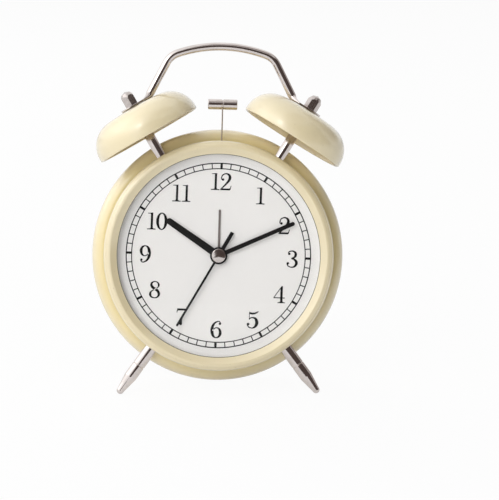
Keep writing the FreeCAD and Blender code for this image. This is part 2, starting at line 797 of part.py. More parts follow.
# Teeth of the motion work and of the going train
CANNON_TEETH = 12
SET_WHEEL_TEETH = 36
SET_PINION_TEETH = 10
HOUR_TEETH = 40
CENTRE_TEETH = 64
THIRD_PINION_TEETH = 8
THIRD_TEETH = 60
SECOND_PINION_TEETH = 8
SECOND_TEETH = 60
ROTOR_TEETH = 6

hour_teeth_r = s.shaft_offset * ((HOUR_TEETH + 1.6) / (HOUR_TEETH + SET_PINION_TEETH))
train_offset = hour_teeth_r + s.pivot_dia / 2 + s.train_gap
set_module = s.shaft_offset.number * 2 / (CANNON_TEETH + SET_WHEEL_TEETH)
hour_module = s.shaft_offset.number * 2 / (SET_PINION_TEETH + HOUR_TEETH)
centre_module = train_offset.number * 2 / (CENTRE_TEETH + THIRD_PINION_TEETH)
second_module = train_offset.number * 2 / (THIRD_TEETH + SECOND_PINION_TEETH)
rotor_module = s.rotor_offset.number * 2 / (SECOND_TEETH + ROTOR_TEETH)

# Pipes nest round the seconds arbor, each with a running gap
minute_bore = s.arbor_dia + s.fit * 2
minute_pipe = minute_bore + s.pipe_wall * 2
hour_bore = minute_pipe + s.fit * 2
hour_pipe = hour_bore + s.pipe_wall * 2
alarm_bore = hour_pipe + s.fit * 2
alarm_pipe = alarm_bore + s.pipe_wall * 2
bush_bore = alarm_pipe + s.fit * 2

alarm_hand_depth = s.dial_depth - s.hand_step
hour_hand_depth = alarm_hand_depth - s.hand_step
minute_hand_depth = hour_hand_depth - s.hand_step
second_hand_depth = minute_hand_depth - s.hand_step


def pipe_front(hand_depth):
    """A pipe ends a little in front of its hand."""
    return hand_depth - s.fit * 2


def make_motion_work():
    """Wheels on the dial's axis, the setting shafts, and the slow train to the rotor."""
    alarm_layer, hour_layer, set_layer, centre_layer = (layer(index) for index in range(4))
    third_layer, second_layer = layer(4) + s.pipe_wall / 2, layer(5) + s.pipe_wall
    thick = s.wheel_thick

    def bored(name, toothing, pipe, bore, front, rear):
        tube = depth_rod(name + "_pipe", pipe, front, rear - front)
        hole = depth_rod(name + "_bore", bore, front, rear - front)
        keep(name, cut(name, join(name + "_solid", toothing + [tube]), [hole]), TURNED)

    bored("alarm_wheel", [toothed("alarm_teeth", HOUR_TEETH, hour_module, alarm_layer, thick)],
          alarm_pipe, alarm_bore, pipe_front(alarm_hand_depth), alarm_layer + thick)
    bored("hour_wheel", [toothed("hour_teeth", HOUR_TEETH, hour_module, hour_layer, thick)],
          hour_pipe, hour_bore, pipe_front(hour_hand_depth), hour_layer + thick)
    bored("minute_pinion",
          [toothed("minute_teeth", CANNON_TEETH, set_module, set_layer, thick, pinion=True)],
          minute_pipe, minute_bore, pipe_front(minute_hand_depth), centre_layer + thick + s.fit)

    centre = [toothed("centre_teeth", CENTRE_TEETH, centre_module, centre_layer, thick)]
    centre_hole = depth_rod("centre_bore", minute_pipe + s.fit * 2, centre_layer, thick)
    keep("centre_wheel", cut("centre_wheel", centre[0], [centre_hole]), TURNED)

    # setting shafts reach from the dial side to the knobs behind the rear cover
    half_tooth = 180 / SET_PINION_TEETH
    knob_end = s.panel_depth + s.slack * 2 + s.knob_height
    front = dial_rear + s.slack
    set_parts = [
        shifted(toothed("set_pinion", SET_PINION_TEETH, hour_module, hour_layer, thick, half_tooth, True),
                -s.shaft_offset, 0),
        shifted(toothed("set_teeth", SET_WHEEL_TEETH, set_module, set_layer, thick, 180 / SET_WHEEL_TEETH),
                -s.shaft_offset, 0),
        depth_rod("set_shaft", s.shaft_dia, front, knob_end - front - s.slack * 2, -s.shaft_offset)]
    keep("time_set_shaft", join("time_set_shaft", set_parts), TURNED)
    alarm_parts = [
        shifted(toothed("alarm_pinion", SET_PINION_TEETH, hour_module, alarm_layer, thick, half_tooth, True),
                s.shaft_offset, 0),
        depth_rod("alarm_shaft", s.shaft_dia, front, knob_end - front - s.slack * 2, s.shaft_offset)]
    keep("alarm_set_shaft", join("alarm_set_shaft", alarm_parts), TURNED)

    pivot_end = movement_rear - s.slack
    third_parts = [
        shifted(toothed("third_pinion", THIRD_PINION_TEETH, centre_module, centre_layer, thick,
                        180 / THIRD_PINION_TEETH, True), 0, -train_offset),
        shifted(toothed("third_teeth", THIRD_TEETH, second_module, third_layer, thick, 180 / THIRD_TEETH),
                0, -train_offset),
        depth_rod("third_shaft", s.pivot_dia, front, pivot_end - front, 0, -train_offset)]
    keep("third_wheel", join("third_wheel", third_parts), TURNED)

    arbor_front = second_hand_depth - s.fit
    second_parts = [
        toothed("second_pinion", SECOND_PINION_TEETH, second_module, third_layer - s.fit, thick + s.fit * 2,
                pinion=True),
        toothed("second_teeth", SECOND_TEETH, rotor_module, second_layer, thick),
        depth_rod("second_arbor", s.arbor_dia, arbor_front, pivot_end - arbor_front)]
    keep("second_wheel", join("second_wheel", second_parts), TURNED)

    rotor_across = s.rotor_offset / math.sqrt(2)
    rotor_front = second_layer - s.fit * 2
    rotor_parts = [
        shifted(toothed("rotor_teeth", ROTOR_TEETH, rotor_module, rotor_front, thick + s.fit * 4, 15, True),
                rotor_across, -rotor_across),
        depth_rod("rotor_magnet", s.rotor_dia, stator_front(), s.wheel_thick + s.slack, rotor_across,
                  -rotor_across),
        depth_rod("rotor_shaft", s.pivot_dia * 0.9, rotor_front, pivot_end - rotor_front, rotor_across,
                  -rotor_across)]
    keep("rotor", join("rotor", rotor_parts), TURNED)


def stator_front():
    return layer(5) + s.pipe_wall + s.wheel_thick + s.slack


# Hands

def hand_body(name, depth, hub, hole, width, low, high):
    body = new_body(name + "_sheet")
    sketch = face_sketch(body, depth)
    draw_slot(sketch, width, low, high)
    pad(body, sketch, s.hand_thick)
    disc(body, depth, s.hand_thick, hub)
    disc(body, depth, s.hand_thick, hole, cut=True)
    return body


def make_hands():
    keep("hour_hand", hand_body("hour_hand", hour_hand_depth, s.hand_hub, hour_pipe, s.hour_width,
                                size(0), s.hour_length - s.hour_width / 2), at(turn=s.hour_angle))
    keep("minute_hand", hand_body("minute_hand", minute_hand_depth, s.hand_hub, minute_pipe, s.minute_width,
                                  size(0), s.minute_length - s.minute_width / 2), at(turn=s.minute_angle))
    keep("alarm_hand", hand_body("alarm_hand", alarm_hand_depth, s.hand_hub, alarm_pipe, s.alarm_width,
                                 size(0), s.alarm_length - s.alarm_width / 2), at(turn=s.alarm_angle))
    second = hand_body("second_hand", second_hand_depth, s.second_disc, s.arbor_dia, s.second_width,
                       size(0), s.second_length - s.second_width / 2)
    boxed(second, second_hand_depth, s.hand_thick, -s.second_tail_width / 2, -s.second_tail,
          s.second_tail_width / 2, -s.arbor_dia)
    keep("second_hand", second, at(turn=s.second_angle))
    cap_r = s.cap_dia / 2
    arc = (cap_r * cap_r + s.cap_rise * s.cap_rise) / (2 * s.cap_rise)
    cap_rear = second_hand_depth - s.fit
    keep("hand_cap", lathe("hand_cap", [
        (0, cap_rear - s.cap_rise, arc, -1), (cap_r, cap_rear), (cap_r, second_hand_depth),
        (s.arbor_dia / 2, second_hand_depth), (s.arbor_dia / 2, cap_rear), (0, cap_rear)], about="Y"),
         at(turn=s.second_angle))


# Movement housing and what it holds

def make_housing():
    """Two moulded halves, the front one with the bush that the hands' pipes pass through."""
    half_w = s.movement_width / 2
    wall = s.movement_wall
    joint = movement_front + s.movement_joint
    across = s.shaft_offset
    rotor_across = s.rotor_offset / math.sqrt(2)

    front = new_body("movement_front_half")
    boxed(front, movement_front, s.movement_joint, -half_w, -s.movement_bottom, half_w, s.movement_top)
    boxed(front, cavity_front, s.movement_joint - wall, wall - half_w, wall - s.movement_bottom,
          half_w - wall, s.movement_top - wall, cut=True)
    bush_front = s.dial_depth - s.slack
    disc(front, bush_front, cavity_front - bush_front, s.bush_dia)
    disc(front, bush_front, cavity_front - bush_front, bush_bore, cut=True)
    front_holes = [
        depth_rod("front_hole", s.shaft_dia + s.fit * 2, movement_front - wall, wall * 3, -across),
        depth_rod("front_hole", s.shaft_dia + s.fit * 2, movement_front - wall, wall * 3, across),
        depth_rod("front_hole", s.pivot_dia + s.fit * 2, movement_front - wall, wall * 3, 0, -train_offset),
        depth_rod("pin_seat", s.pin_dia, movement_front, wall * 3, 0, s.hammer_pivot)]
    slot = new_body("wire_slot")
    boxed(slot, s.neck_depth - s.wire_dia * 2, s.wire_dia * 4, -s.pin_dia, s.movement_top - wall * 2,
          s.pin_dia, s.movement_top + wall)
    front_holes.append(slot)
    keep("movement_front", cut("movement_front", front, front_holes), TURNED)

    rear = new_body("movement_rear_half")
    rear_thick = s.movement_thick - s.movement_joint
    boxed(rear, joint, rear_thick, -half_w, -s.movement_bottom, half_w, s.movement_top)
    boxed(rear, joint, rear_thick - wall, wall - half_w, wall - s.movement_bottom,
          half_w - wall, s.movement_top - wall, cut=True)
    rear_holes = [
        depth_rod("rear_hole", s.shaft_dia + s.fit * 2, cavity_rear - wall, wall * 3, -across),
        depth_rod("rear_hole", s.shaft_dia + s.fit * 2, cavity_rear - wall, wall * 3, across),
        depth_rod("rear_hole", s.pivot_dia + s.fit * 2, cavity_rear - wall, wall * 3, 0, -train_offset),
        depth_rod("rear_hole", s.arbor_dia + s.fit * 2, cavity_rear - wall, wall * 3),
        depth_rod("rear_hole", s.pivot_dia * 0.9 + s.fit * 2, cavity_rear - wall, wall * 3,
                  rotor_across, -rotor_across)]
    keep("movement_rear", cut("movement_rear", rear, rear_holes), TURNED)


def make_motor_parts():
    """Stator, coil, circuit board and crystal of the stepping motor."""
    front = stator_front()
    rotor_across = s.rotor_offset / math.sqrt(2)
    bar = s.rotor_dia * 0.6
    right = s.movement_width / 2 - s.movement_wall - bar * 1.6
    low = -s.shaft_offset
    high = s.shaft_offset * 0.75
    left = rotor_across - s.rotor_dia * 0.8
    inner_left = rotor_across + s.rotor_dia * 0.8
    stator = new_body("stator")
    boxed(stator, front, s.wheel_thick, left, low, right, high)
    boxed(stator, front, s.wheel_thick, inner_left, low + bar, right - bar, high - bar, cut=True)
    disc(stator, front, s.wheel_thick, s.rotor_dia + s.slack * 2, rotor_across, -rotor_across, cut=True)
    keep("stator", stator, TURNED)

    core_r = bar / 2 + s.fit * 4
    coil_r = bar * 0.9
    flange_r = bar
    half = (high - low) / 2 - bar - s.slack
    flange = half - s.movement_wall
    coil = lathe("coil", [
        (core_r, -half), (flange_r, -half), (flange_r, -flange), (coil_r, -flange), (coil_r, flange),
        (flange_r, flange), (flange_r, half), (core_r, half)])
    keep("coil", coil, TURNED * at(right - bar / 2, front + s.wheel_thick / 2, (high + low) / 2))

    edge = s.movement_wall - s.movement_width / 2
    board_thick = s.wheel_thick
    board = new_body("circuit_board")
    boxed(board, cavity_rear - board_thick, board_thick, edge + s.slack, -s.shaft_offset * 1.6,
          -s.shaft_offset - s.shaft_dia / 2 - s.board_gap, s.shaft_offset * 0.3)
    keep("circuit_board", board, TURNED)
    crystal_dia = s.pin_dia * 1.3
    crystal = rod("quartz_crystal", crystal_dia, s.shaft_offset / 2, UPRIGHT)
    keep("quartz_crystal", crystal, TURNED * at(
        edge + s.shaft_offset * 0.4, cavity_rear - board_thick - crystal_dia / 2, -s.shaft_offset))


def make_striker():
    """Bell motor with its cam, and the pivoted hammer with its fork round the cam."""
    cam_up = s.hammer_pivot - s.cam_drop
    lever_thick = s.pin_dia
    lever_front = s.neck_depth - lever_thick / 2
    lever_rear = lever_front + lever_thick
    can_front = lever_rear + s.slack
    can = new_body("bell_motor_can")
    disc(can, can_front, cavity_rear - can_front, s.motor_dia, 0, cam_up)
    shaft_dia = s.pin_dia * 0.7
    shaft_hole = depth_rod("motor_hole", shaft_dia + s.fit * 2, can_front, s.cam_dia, 0, cam_up)
    keep("bell_motor", cut("bell_motor", can, [shaft_hole]), TURNED)
    cam_parts = [
        depth_rod("cam_disc", s.cam_dia, lever_front, lever_thick - s.fit, s.cam_throw, cam_up),
        depth_rod("cam_shaft", shaft_dia, lever_front, lever_thick + s.cam_dia, 0, cam_up)]
    keep("hammer_cam", join("hammer_cam", cam_parts), TURNED)
    keep("hammer_pin", depth_rod("hammer_pin", s.pin_dia, movement_front + s.fit * 2,
                                 lever_rear + s.slack - movement_front, 0, 0),
         TURNED * at(0, movement_front + s.fit * 2, s.hammer_pivot)
         * Placement(Vector(), Rotation(Vector(1, 0, 0), -90)))

    # the hammer is drawn about its pivot, its wire along Z
    place = TURNED * at(0, s.neck_depth, s.hammer_pivot, s.hammer_rest)
    wire_r = s.wire_dia / 2
    hub_r = s.pin_dia * 1.2
    cam_sweep = s.cam_dia / 2 + s.cam_throw
    fork_inner = cam_sweep + s.pin_dia
    fork_outer = fork_inner + s.pin_dia
    bridge_low = s.cam_drop - cam_sweep - s.slack * 2
    lever = new_body("hammer_lever_sheet")
    boxed(lever, -lever_thick / 2, lever_thick, -fork_outer, -s.cam_drop - s.pin_dia, fork_outer, -hub_r)
    boxed(lever, -lever_thick / 2, lever_thick, -fork_inner, -s.cam_drop - s.pin_dia * 2, fork_inner,
          -bridge_low, cut=True)
    boxed(lever, -lever_thick / 2, lever_thick, -s.pin_dia, -hub_r - s.fit, s.pin_dia, 0)
    disc(lever, -lever_thick / 2, lever_thick, hub_r * 2)
    disc(lever, -lever_thick / 2, lever_thick, s.pin_dia + s.fit * 2, cut=True)
    wire_foot = s.pin_dia * 0.9
    lever_hole = rod("wire_hole", s.wire_dia, s.hammer_pivot, at(up=wire_foot))
    keep("hammer_lever", cut("hammer_lever", lever, [lever_hole]), place)

    wire_top = hammer_reach + s.head_dia / 4
    keep("hammer_wire", rod("hammer_wire", s.wire_dia, wire_top - wire_foot, UPRIGHT), place * at(up=wire_foot))

    head_r = s.head_dia / 2
    half = bell_rim * sine(s.bell_angle) - s.bell_dia / 2 * cosine(s.bell_angle) - s.head_swing
    bevel = s.head_dia / 8
    groove = s.wire_dia / 3
    head = lathe("head_turned", [
        (0, -half), (head_r - bevel, -half, bevel, -1), (head_r, bevel - half), (head_r, -groove),
        (head_r - groove, -groove), (head_r - groove, groove), (head_r, groove), (head_r, half - bevel, bevel, -1),
        (head_r - bevel, half), (0, half)])
    head.Placement = at(up=hammer_reach) * Placement(Vector(), Rotation(Vector(0, 1, 0), 90))
    head_hole = rod("head_hole", s.wire_dia, wire_top - hammer_reach + s.head_dia,
                    at(up=hammer_reach - s.head_dia))
    keep("hammer_head", cut("hammer_head", head, [head_hole]), place)


# the neck's slot leaves room for the wire at both ends of the hammer's swing
hammer_swing = s.neck_width * 0.55


# Rear cover, battery and controls

def make_rear_cover():
    """A recessed disc with the battery bay, two ribs that press on the movement, and its openings."""
    half = s.bay_length / 2
    low = -s.bay_drop - s.bay_height / 2
    high = -s.bay_drop + s.bay_height / 2
    wall = s.bay_wall
    bay_front = s.panel_depth - s.bay_deep
    cover = new_body("rear_cover_moulding")
    disc(cover, panel_inner, s.panel_thick, (case_r - s.case_rear_round - s.slack) * 2)
    boxed(cover, bay_front - wall, s.bay_deep + wall - s.panel_thick, -half - wall, low - wall,
          half + wall, high + wall)
    boxed(cover, bay_front, s.bay_deep, -half, low, half, high, cut=True)
    margin = s.door_margin + s.slack
    boxed(cover, s.panel_depth - s.door_thick, s.door_thick, -half - margin, low - margin,
          half + margin, high + margin, cut=True)
    rib = s.knob_height
    for sign in SIDES.values():
        middle = s.movement_width / 2 * 0.75 * sign
        boxed(cover, movement_rear, panel_inner - movement_rear, middle - rib / 2, s.switch_height * 0.6,
              middle + rib / 2, s.switch_height * 0.6 + rib / 2)
    boxed(cover, panel_inner, s.panel_thick, -switch_slot() / 2, s.switch_height - stem_half() - s.slack,
          switch_slot() / 2, s.switch_height + stem_half() + s.slack, cut=True)
    holes = []
    for angle in lug_angles():
        holes.append(depth_rod("cover_hole", s.screw_dia + s.fit * 4, panel_inner, s.panel_thick,
                               up=screw_r(), module=at(turn=angle)))
    for sign in SIDES.values():
        holes.append(depth_rod("shaft_hole", s.shaft_dia + s.slack * 2, panel_inner - s.slack,
                               s.panel_thick + s.slack * 2, s.shaft_offset * sign, 0, TURNED))
    pin_reach = half + s.door_margin + s.door_pin + s.slack
    along_x = Placement(Vector(), Rotation(Vector(0, 1, 0), 90))
    holes.append(rod("pin_holes", s.door_pin + s.fit * 2, pin_reach * 2,
                     at(-pin_reach, door_axis_depth, door_axis_up) * along_x))
    keep("rear_cover", cut("rear_cover", cover, holes))


def switch_slot():
    return s.switch_travel + stem_half() * 4


def stem_half():
    return s.pin_dia * 0.7


door_low = -s.bay_drop - s.bay_height / 2 - s.door_margin
door_axis_up = door_low + s.door_thick / 2
door_axis_depth = s.panel_depth - s.door_thick / 2


def make_battery_cover():
    """A snap-in door. It turns on two pins along its lower edge, which is round about them."""
    half = s.bay_length / 2 + s.door_margin
    high = -s.bay_drop + s.bay_height / 2 + s.door_margin
    edge_r = s.door_thick / 2
    # drawn across its edge, and padded along X to both sides
    door = new_body("battery_cover_moulding")
    sketch = new_sketch(door, "YZ_Plane", offset=-half)
    draw_path(sketch, [
        (s.panel_depth - s.door_thick, door_axis_up, edge_r, -1),
        (s.panel_depth, door_axis_up),
        (s.panel_depth, high),
        (s.panel_depth - s.door_thick, high)])
    plate = door.newObject("PartDesign::Pad", "plate")
    plate.Profile = sketch
    bind(plate, "Length", half * 2)
    ridge = s.door_thick / 2
    for index in range(3):
        bottom = high - s.door_margin * (index + 1.5)
        boxed(door, s.panel_depth, ridge, -s.knob_height, bottom - ridge / 2, s.knob_height,
              bottom + ridge / 2)
    pin = half + s.door_pin - s.fit
    pins = rod("door_pins", s.door_pin, pin * 2, at(-pin, door_axis_depth, door_axis_up)
               * Placement(Vector(), Rotation(Vector(0, 1, 0), 90)))
    keep("battery_cover", join("battery_cover", [door, pins]))


def make_battery():
    """One round cell between two sheet contacts."""
    half = s.bay_length / 2
    cell_depth = s.panel_depth - s.bay_deep + s.cell_dia / 2
    cell_r = s.cell_dia / 2
    nub_r = s.cell_dia * 0.19
    cell_half = s.cell_length / 2
    edge = s.slack
    place = at(0, cell_depth, -s.bay_drop) * Placement(Vector(), Rotation(Vector(0, 1, 0), 90))
    cell = lathe("battery_cell", [
        (0, -cell_half), (cell_r - edge, -cell_half), (cell_r, edge - cell_half),
        (cell_r, cell_half - edge), (cell_r - edge, cell_half), (nub_r, cell_half),
        (nub_r, cell_half + s.cell_nub), (0, cell_half + s.cell_nub)])
    keep("battery_cell", cell, place)
    plate = s.slack
    for name, sign, gap, foot in (
            ("plus_contact", 1, half - cell_half - s.cell_nub, nub_r),
            ("minus_contact", -1, half - cell_half, cell_r * 0.6)):
        contact = lathe(name, [
            (0, 0), (cell_r * 0.8, 0), (cell_r * 0.8, plate), (foot, plate),
            (foot * 0.6, gap - plate), (foot * 0.6, gap), (0, gap)])
        turn = Placement(Vector(), Rotation(Vector(0, 1, 0), -90 * sign))
        keep(name, contact, at(half * sign, cell_depth, -s.bay_drop) * turn)


def make_knobs():
    """Fluted knobs on the setting shafts."""
    rear = s.panel_depth + s.slack * 2
    knob_r = s.knob_dia / 2
    flute_r = knob_r * math.pi / s.knob_flutes * 0.45
    for name, sign in (("time_knob", -1), ("alarm_knob", 1)):
        body = new_body(name + "_moulding")
        disc(body, rear, s.knob_height, s.knob_dia)
        sketch = face_sketch(body, rear)
        draw_circle(sketch, 0, knob_r + flute_r * 0.3, flute_r * 2)
        flute = pocket(body, sketch, s.knob_height)
        doc.recompute()
        ring = body.newObject("PartDesign::PolarPattern", "flutes")
        ring.Originals = [flute]
        axis = [feature for feature in body.Origin.OriginFeatures if feature.Role == "Y_Axis"][0]
        ring.Axis = (axis, [""])
        ring.Angle = 360
        ring.Occurrences = int(s.knob_flutes.number)
        body.Tip = ring
        hole = depth_rod(name + "_hole", s.shaft_dia, rear - s.slack, s.knob_height - s.slack)
        keep(name, cut(name, body, [hole]), TURNED * at(s.shaft_offset * sign))


def make_switch():
    """Slide switch for the alarm: its cap outside, its stem through the cover, its foot in a base."""
    half = stem_half()
    rest = -s.switch_travel / 2
    cap_half = half * 2.6
    slider = new_body("alarm_switch")
    boxed(slider, s.panel_depth + s.slack, s.knob_height / 2, rest - cap_half, s.switch_height - cap_half,
          rest + cap_half, s.switch_height + cap_half)
    stem_front = panel_inner - s.knob_height / 2
    boxed(slider, stem_front, s.panel_depth + s.slack - stem_front, rest - half, s.switch_height - half,
          rest + half, s.switch_height + half)
    keep("alarm_switch", slider)

    base_half = switch_slot() / 2 + s.bay_wall
    base_high = cap_half + s.bay_wall
    base = new_body("switch_base")
    base_deep = s.knob_height
    boxed(base, panel_inner - base_deep, base_deep, -base_half, s.switch_height - base_high,
          base_half, s.switch_height + base_high)
    boxed(base, panel_inner - base_deep + s.bay_wall, base_deep - s.bay_wall, -switch_slot() / 2,
          s.switch_height - half - s.slack, switch_slot() / 2, s.switch_height + half + s.slack, cut=True)
    keep("switch_base", base)


def make_screws():
    screws = []
    shank_r = s.screw_dia / 2
    head_r = s.screw_head / 2
    head_rise = s.screw_head * 0.3
    for angle in lug_angles():
        screw = lathe("cover_screw", [
            (0, -s.screw_length), (shank_r, -s.screw_length), (shank_r, 0), (head_r, 0),
            (head_r, head_rise * 0.6), (head_r * 0.7, head_rise), (0, head_rise)])
        # a cross of two shallow slots for the driver
        slots = []
        for turn in (0, 90):
            slot = doc.addObject("Part::Box", "driver_slot")
            bind(slot, "Length", s.screw_head * 0.6)
            bind(slot, "Width", s.screw_head * 0.14)
            bind(slot, "Height", head_rise)
            spin = Placement(Vector(), Rotation(Vector(0, 0, 1), turn))
            slot.Placement = spin * Placement(
                Vector(-s.screw_head.number * 0.3, -s.screw_head.number * 0.07, head_rise.number * 0.5),
                Rotation())
            slots.append(slot)
        slotted = cut("slotted_screw", screw, slots)
        slotted.Placement = at(turn=angle) * at(0, s.panel_depth, screw_r()) * Placement(
            Vector(), Rotation(Vector(1, 0, 0), -90))
        screws.append(slotted)
    keep("cover_screws", group("cover_screws", screws))


make_case()
make_bezel()
make_front_stack()
make_bells()
make_cap_nuts()
make_inner_nuts()
make_handle()
make_legs()
make_motion_work()
make_hands()
make_housing()
make_motor_parts()
make_striker()
make_rear_cover()
make_battery_cover()
make_battery()
make_knobs()
make_switch()
make_screws()
doc.recompute()


# The stance: legs' round tips and the rolled rear rim touch one plane

def stance():
    """Leans the clock back until the tips and the rim stand on Z = 0, centred on its own width and depth."""
    tip_r = s.leg_tip_dia.number / 2
    rim_r = s.case_rear_round.number
    tip_up = -(leg_reach.number - tip_r) * math.cos(math.radians(s.leg_angle.number))
    rim_up = rim_r - case_r.number
    run = s.case_back.number - rim_r - s.neck_depth.number
    rise = rim_up - tip_up
    lean = math.degrees(math.atan2(rise, run) - math.asin((rim_r - tip_r) / math.hypot(run, rise)))
    tilt = Placement(Vector(), Rotation(Vector(1, 0, 0), -lean))
    box = FreeCAD.BoundBox()
    for piece in pieces.values():
        shape = piece.Shape.copy()
        shape.Placement = tilt * shape.Placement
        box.add(shape.optimalBoundingBox(False, False))
    shift = Vector(-box.Center.x, -box.Center.y, -box.ZMin)
    print("lean", round(lean, 3), "shift", [round(value, 4) for value in shift])
    return Placement(shift, Rotation()) * tilt


standing = stance()
for piece in pieces.values():
    piece.Placement = standing * piece.Placement
doc.recompute()

failed = [thing.Label for thing in doc.Objects if {"Invalid", "Error"} & set(thing.State)]
failed += [name for name, piece in pieces.items() if piece.Shape.isNull() or not piece.Shape.isValid()]
if failed:
    raise RuntimeError(f"these objects failed: {failed}")

os.makedirs("parts", exist_ok=True)
for name, piece in pieces.items():
    piece.Shape.exportStep(f"parts/{name}.step")
    solids = piece.Shape.Solids
    print(name, len(solids), "solid(s)", round(sum(solid.Volume for solid in solids), 2), "mm3")
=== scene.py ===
# %% [markdown]
# # A twin bell alarm clock
# The clock comes in as CAD parts that already sit where they belong. Here each visible part gets the
# form, print and finish of the real one: cream enamel, polished metal, glass, a printed dial and
# moulded plastic at the back.

import json
import math

import bmesh
import bpy
from mathutils import Matrix, Vector
from mathutils.geometry import interpolate_bezier


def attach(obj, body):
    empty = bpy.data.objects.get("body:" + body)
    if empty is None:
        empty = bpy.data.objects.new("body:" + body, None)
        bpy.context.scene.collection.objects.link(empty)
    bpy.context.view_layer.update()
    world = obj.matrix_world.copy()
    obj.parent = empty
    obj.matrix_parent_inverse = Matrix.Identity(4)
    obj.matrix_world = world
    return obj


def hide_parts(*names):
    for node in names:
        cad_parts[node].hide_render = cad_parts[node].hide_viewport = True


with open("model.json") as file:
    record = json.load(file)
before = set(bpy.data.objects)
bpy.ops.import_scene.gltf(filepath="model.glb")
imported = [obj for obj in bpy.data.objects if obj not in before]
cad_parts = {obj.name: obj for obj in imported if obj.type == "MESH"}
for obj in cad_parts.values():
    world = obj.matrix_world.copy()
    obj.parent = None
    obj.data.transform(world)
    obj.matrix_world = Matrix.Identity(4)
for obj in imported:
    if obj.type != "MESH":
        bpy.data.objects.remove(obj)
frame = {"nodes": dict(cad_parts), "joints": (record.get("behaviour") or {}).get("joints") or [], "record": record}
nodes = frame["nodes"]
joints = {joint["name"]: joint for joint in frame["joints"]}
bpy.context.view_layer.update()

# %% [markdown]
# The clock leans back on its legs and its rear rim. Drawing on a slope is awkward, so everything is
# drawn upright in millimetres, with the dial's axis along Y, and one matrix carries it into place.
# The axis of the second hand gives that slope, and the foremost point of the bezel is depth zero.
# The dial sits two degrees clockwise on the case, and bells, posts and handle about one.

# %% The upright drawing frame
def drawing_frame():
    """A matrix from upright millimetres to the place of the leaning clock, in metres."""
    middle = Vector(joints["second_turn"]["pos_m"])
    rearwards = Vector(joints["second_turn"]["axis"]).normalized()
    across = Vector((1, 0, 0))
    upwards = across.cross(rearwards)
    bezel = nodes["front_bezel"].data.vertices
    front = min((corner.co - middle) @ rearwards for corner in bezel)
    turn = Matrix((across, rearwards, upwards)).transposed().to_4x4()
    return Matrix.Translation(middle + rearwards * front) @ turn @ Matrix.Scale(0.001, 4)


UPRIGHT = drawing_frame()
lean = math.degrees(math.asin(-joints["second_turn"]["axis"][2]))
print("the clock leans back by", round(lean, 2), "degrees")


def clockwise(degrees):
    """Turns a piece about the dial's axis, as a hand turns."""
    return Matrix.Rotation(math.radians(degrees), 4, "Y")


def shifted(depth=0, up=0):
    return Matrix.Translation((0, depth, up))


NECK_DEPTH = 11.5
DIAL_TURN = clockwise(2.0)
TOP = clockwise(1.1)
FACING = Matrix.Rotation(math.radians(-90), 4, "X")


def outwards(angle):
    """On the neck, with the piece's own Z pointing away from the dial's axis."""
    return shifted(depth=NECK_DEPTH) @ clockwise(angle)


# %% [markdown]
# Every piece ends the same way: its mesh is carried into place, so that the object itself stays at
# the origin, its faces are smoothed except across real edges, and it is tied to the moving body that
# carries it. One function does this, so that no piece is forgotten.

# %% Finish a piece
MERGED_WITHIN = 0.0005


def added(name, data):
    """A new object of the scene."""
    item = bpy.data.objects.new(name, data)
    bpy.context.scene.collection.objects.link(item)
    return item


def settle(name, mesh, place, replaced, finish, body="clock_case", edge_angle=35):
    """Puts a mesh in its place and makes it a piece of the clock, in place of CAD parts or none."""
    mesh.transform(UPRIGHT @ place)
    mesh.shade_smooth()
    mesh.set_sharp_from_angle(angle=math.radians(edge_angle))
    piece = added(name, mesh)
    mesh.materials.clear()
    mesh.materials.append(finish)
    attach(piece, body)
    if replaced:
        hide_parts(*replaced)
    size = [round(side * 1000, 1) for side in piece.dimensions]
    print(name, "faces:", len(mesh.polygons), "size in mm:", size)


def mesh_of(shape):
    """The finished mesh of a bmesh, with merged points and outward faces."""
    bmesh.ops.remove_doubles(shape, verts=shape.verts, dist=MERGED_WITHIN)
    bmesh.ops.recalc_face_normals(shape, faces=shape.faces)
    mesh = bpy.data.meshes.new("mesh")
    shape.to_mesh(mesh)
    shape.free()
    return mesh


# %% [markdown]
# Most of the clock is round: sheet metal spun on a lathe, or bar turned on one. In Blender such a
# piece is an outline of radius and height that is spun about an axis. Real edges are never perfectly
# sharp, so a corner of the outline may ask for a small radius, which catches a thin line of light.

# %% Outlines with rounded corners
def arc(across, up, radius, start, finish, count):
    """Points on an arc, with angles in degrees from the direction across, anticlockwise."""
    points = []
    for step in range(count + 1):
        angle = math.radians(start + (finish - start) * step / count)
        points.append((across + radius * math.cos(angle), up + radius * math.sin(angle)))
    return points


def circle(across, up, radius, steps):
    """A closed circle, without its first point again."""
    return arc(across, up, radius, 0, 360 - 360 / steps, steps - 1)


def rounded(corners, closed=True):
    """An outline as points. A corner is (radius, height), or (radius, height, rounding)."""
    points = []
    for index, corner in enumerate(corners):
        here = Vector(corner[:2])
        inside = closed or 0 < index < len(corners) - 1
        if len(corner) < 3 or not inside:
            points.append(here)
            continue
        back = (Vector(corners[index - 1][:2]) - here).normalized()
        onward = (Vector(corners[(index + 1) % len(corners)][:2]) - here).normalized()
        half = back.angle(onward) / 2
        start = here + back * corner[2] / math.tan(half)
        centre = here + (back + onward).normalized() * corner[2] / math.sin(half)
        swing = math.pi - 2 * half
        steps = max(2, math.ceil(math.degrees(swing) / 9))
        sign = 1 if back.x * onward.y - back.y * onward.x < 0 else -1
        spoke = start - centre
        for step in range(steps + 1):
            points.append(centre + Matrix.Rotation(sign * swing * step / steps, 2) @ spoke)
    return points


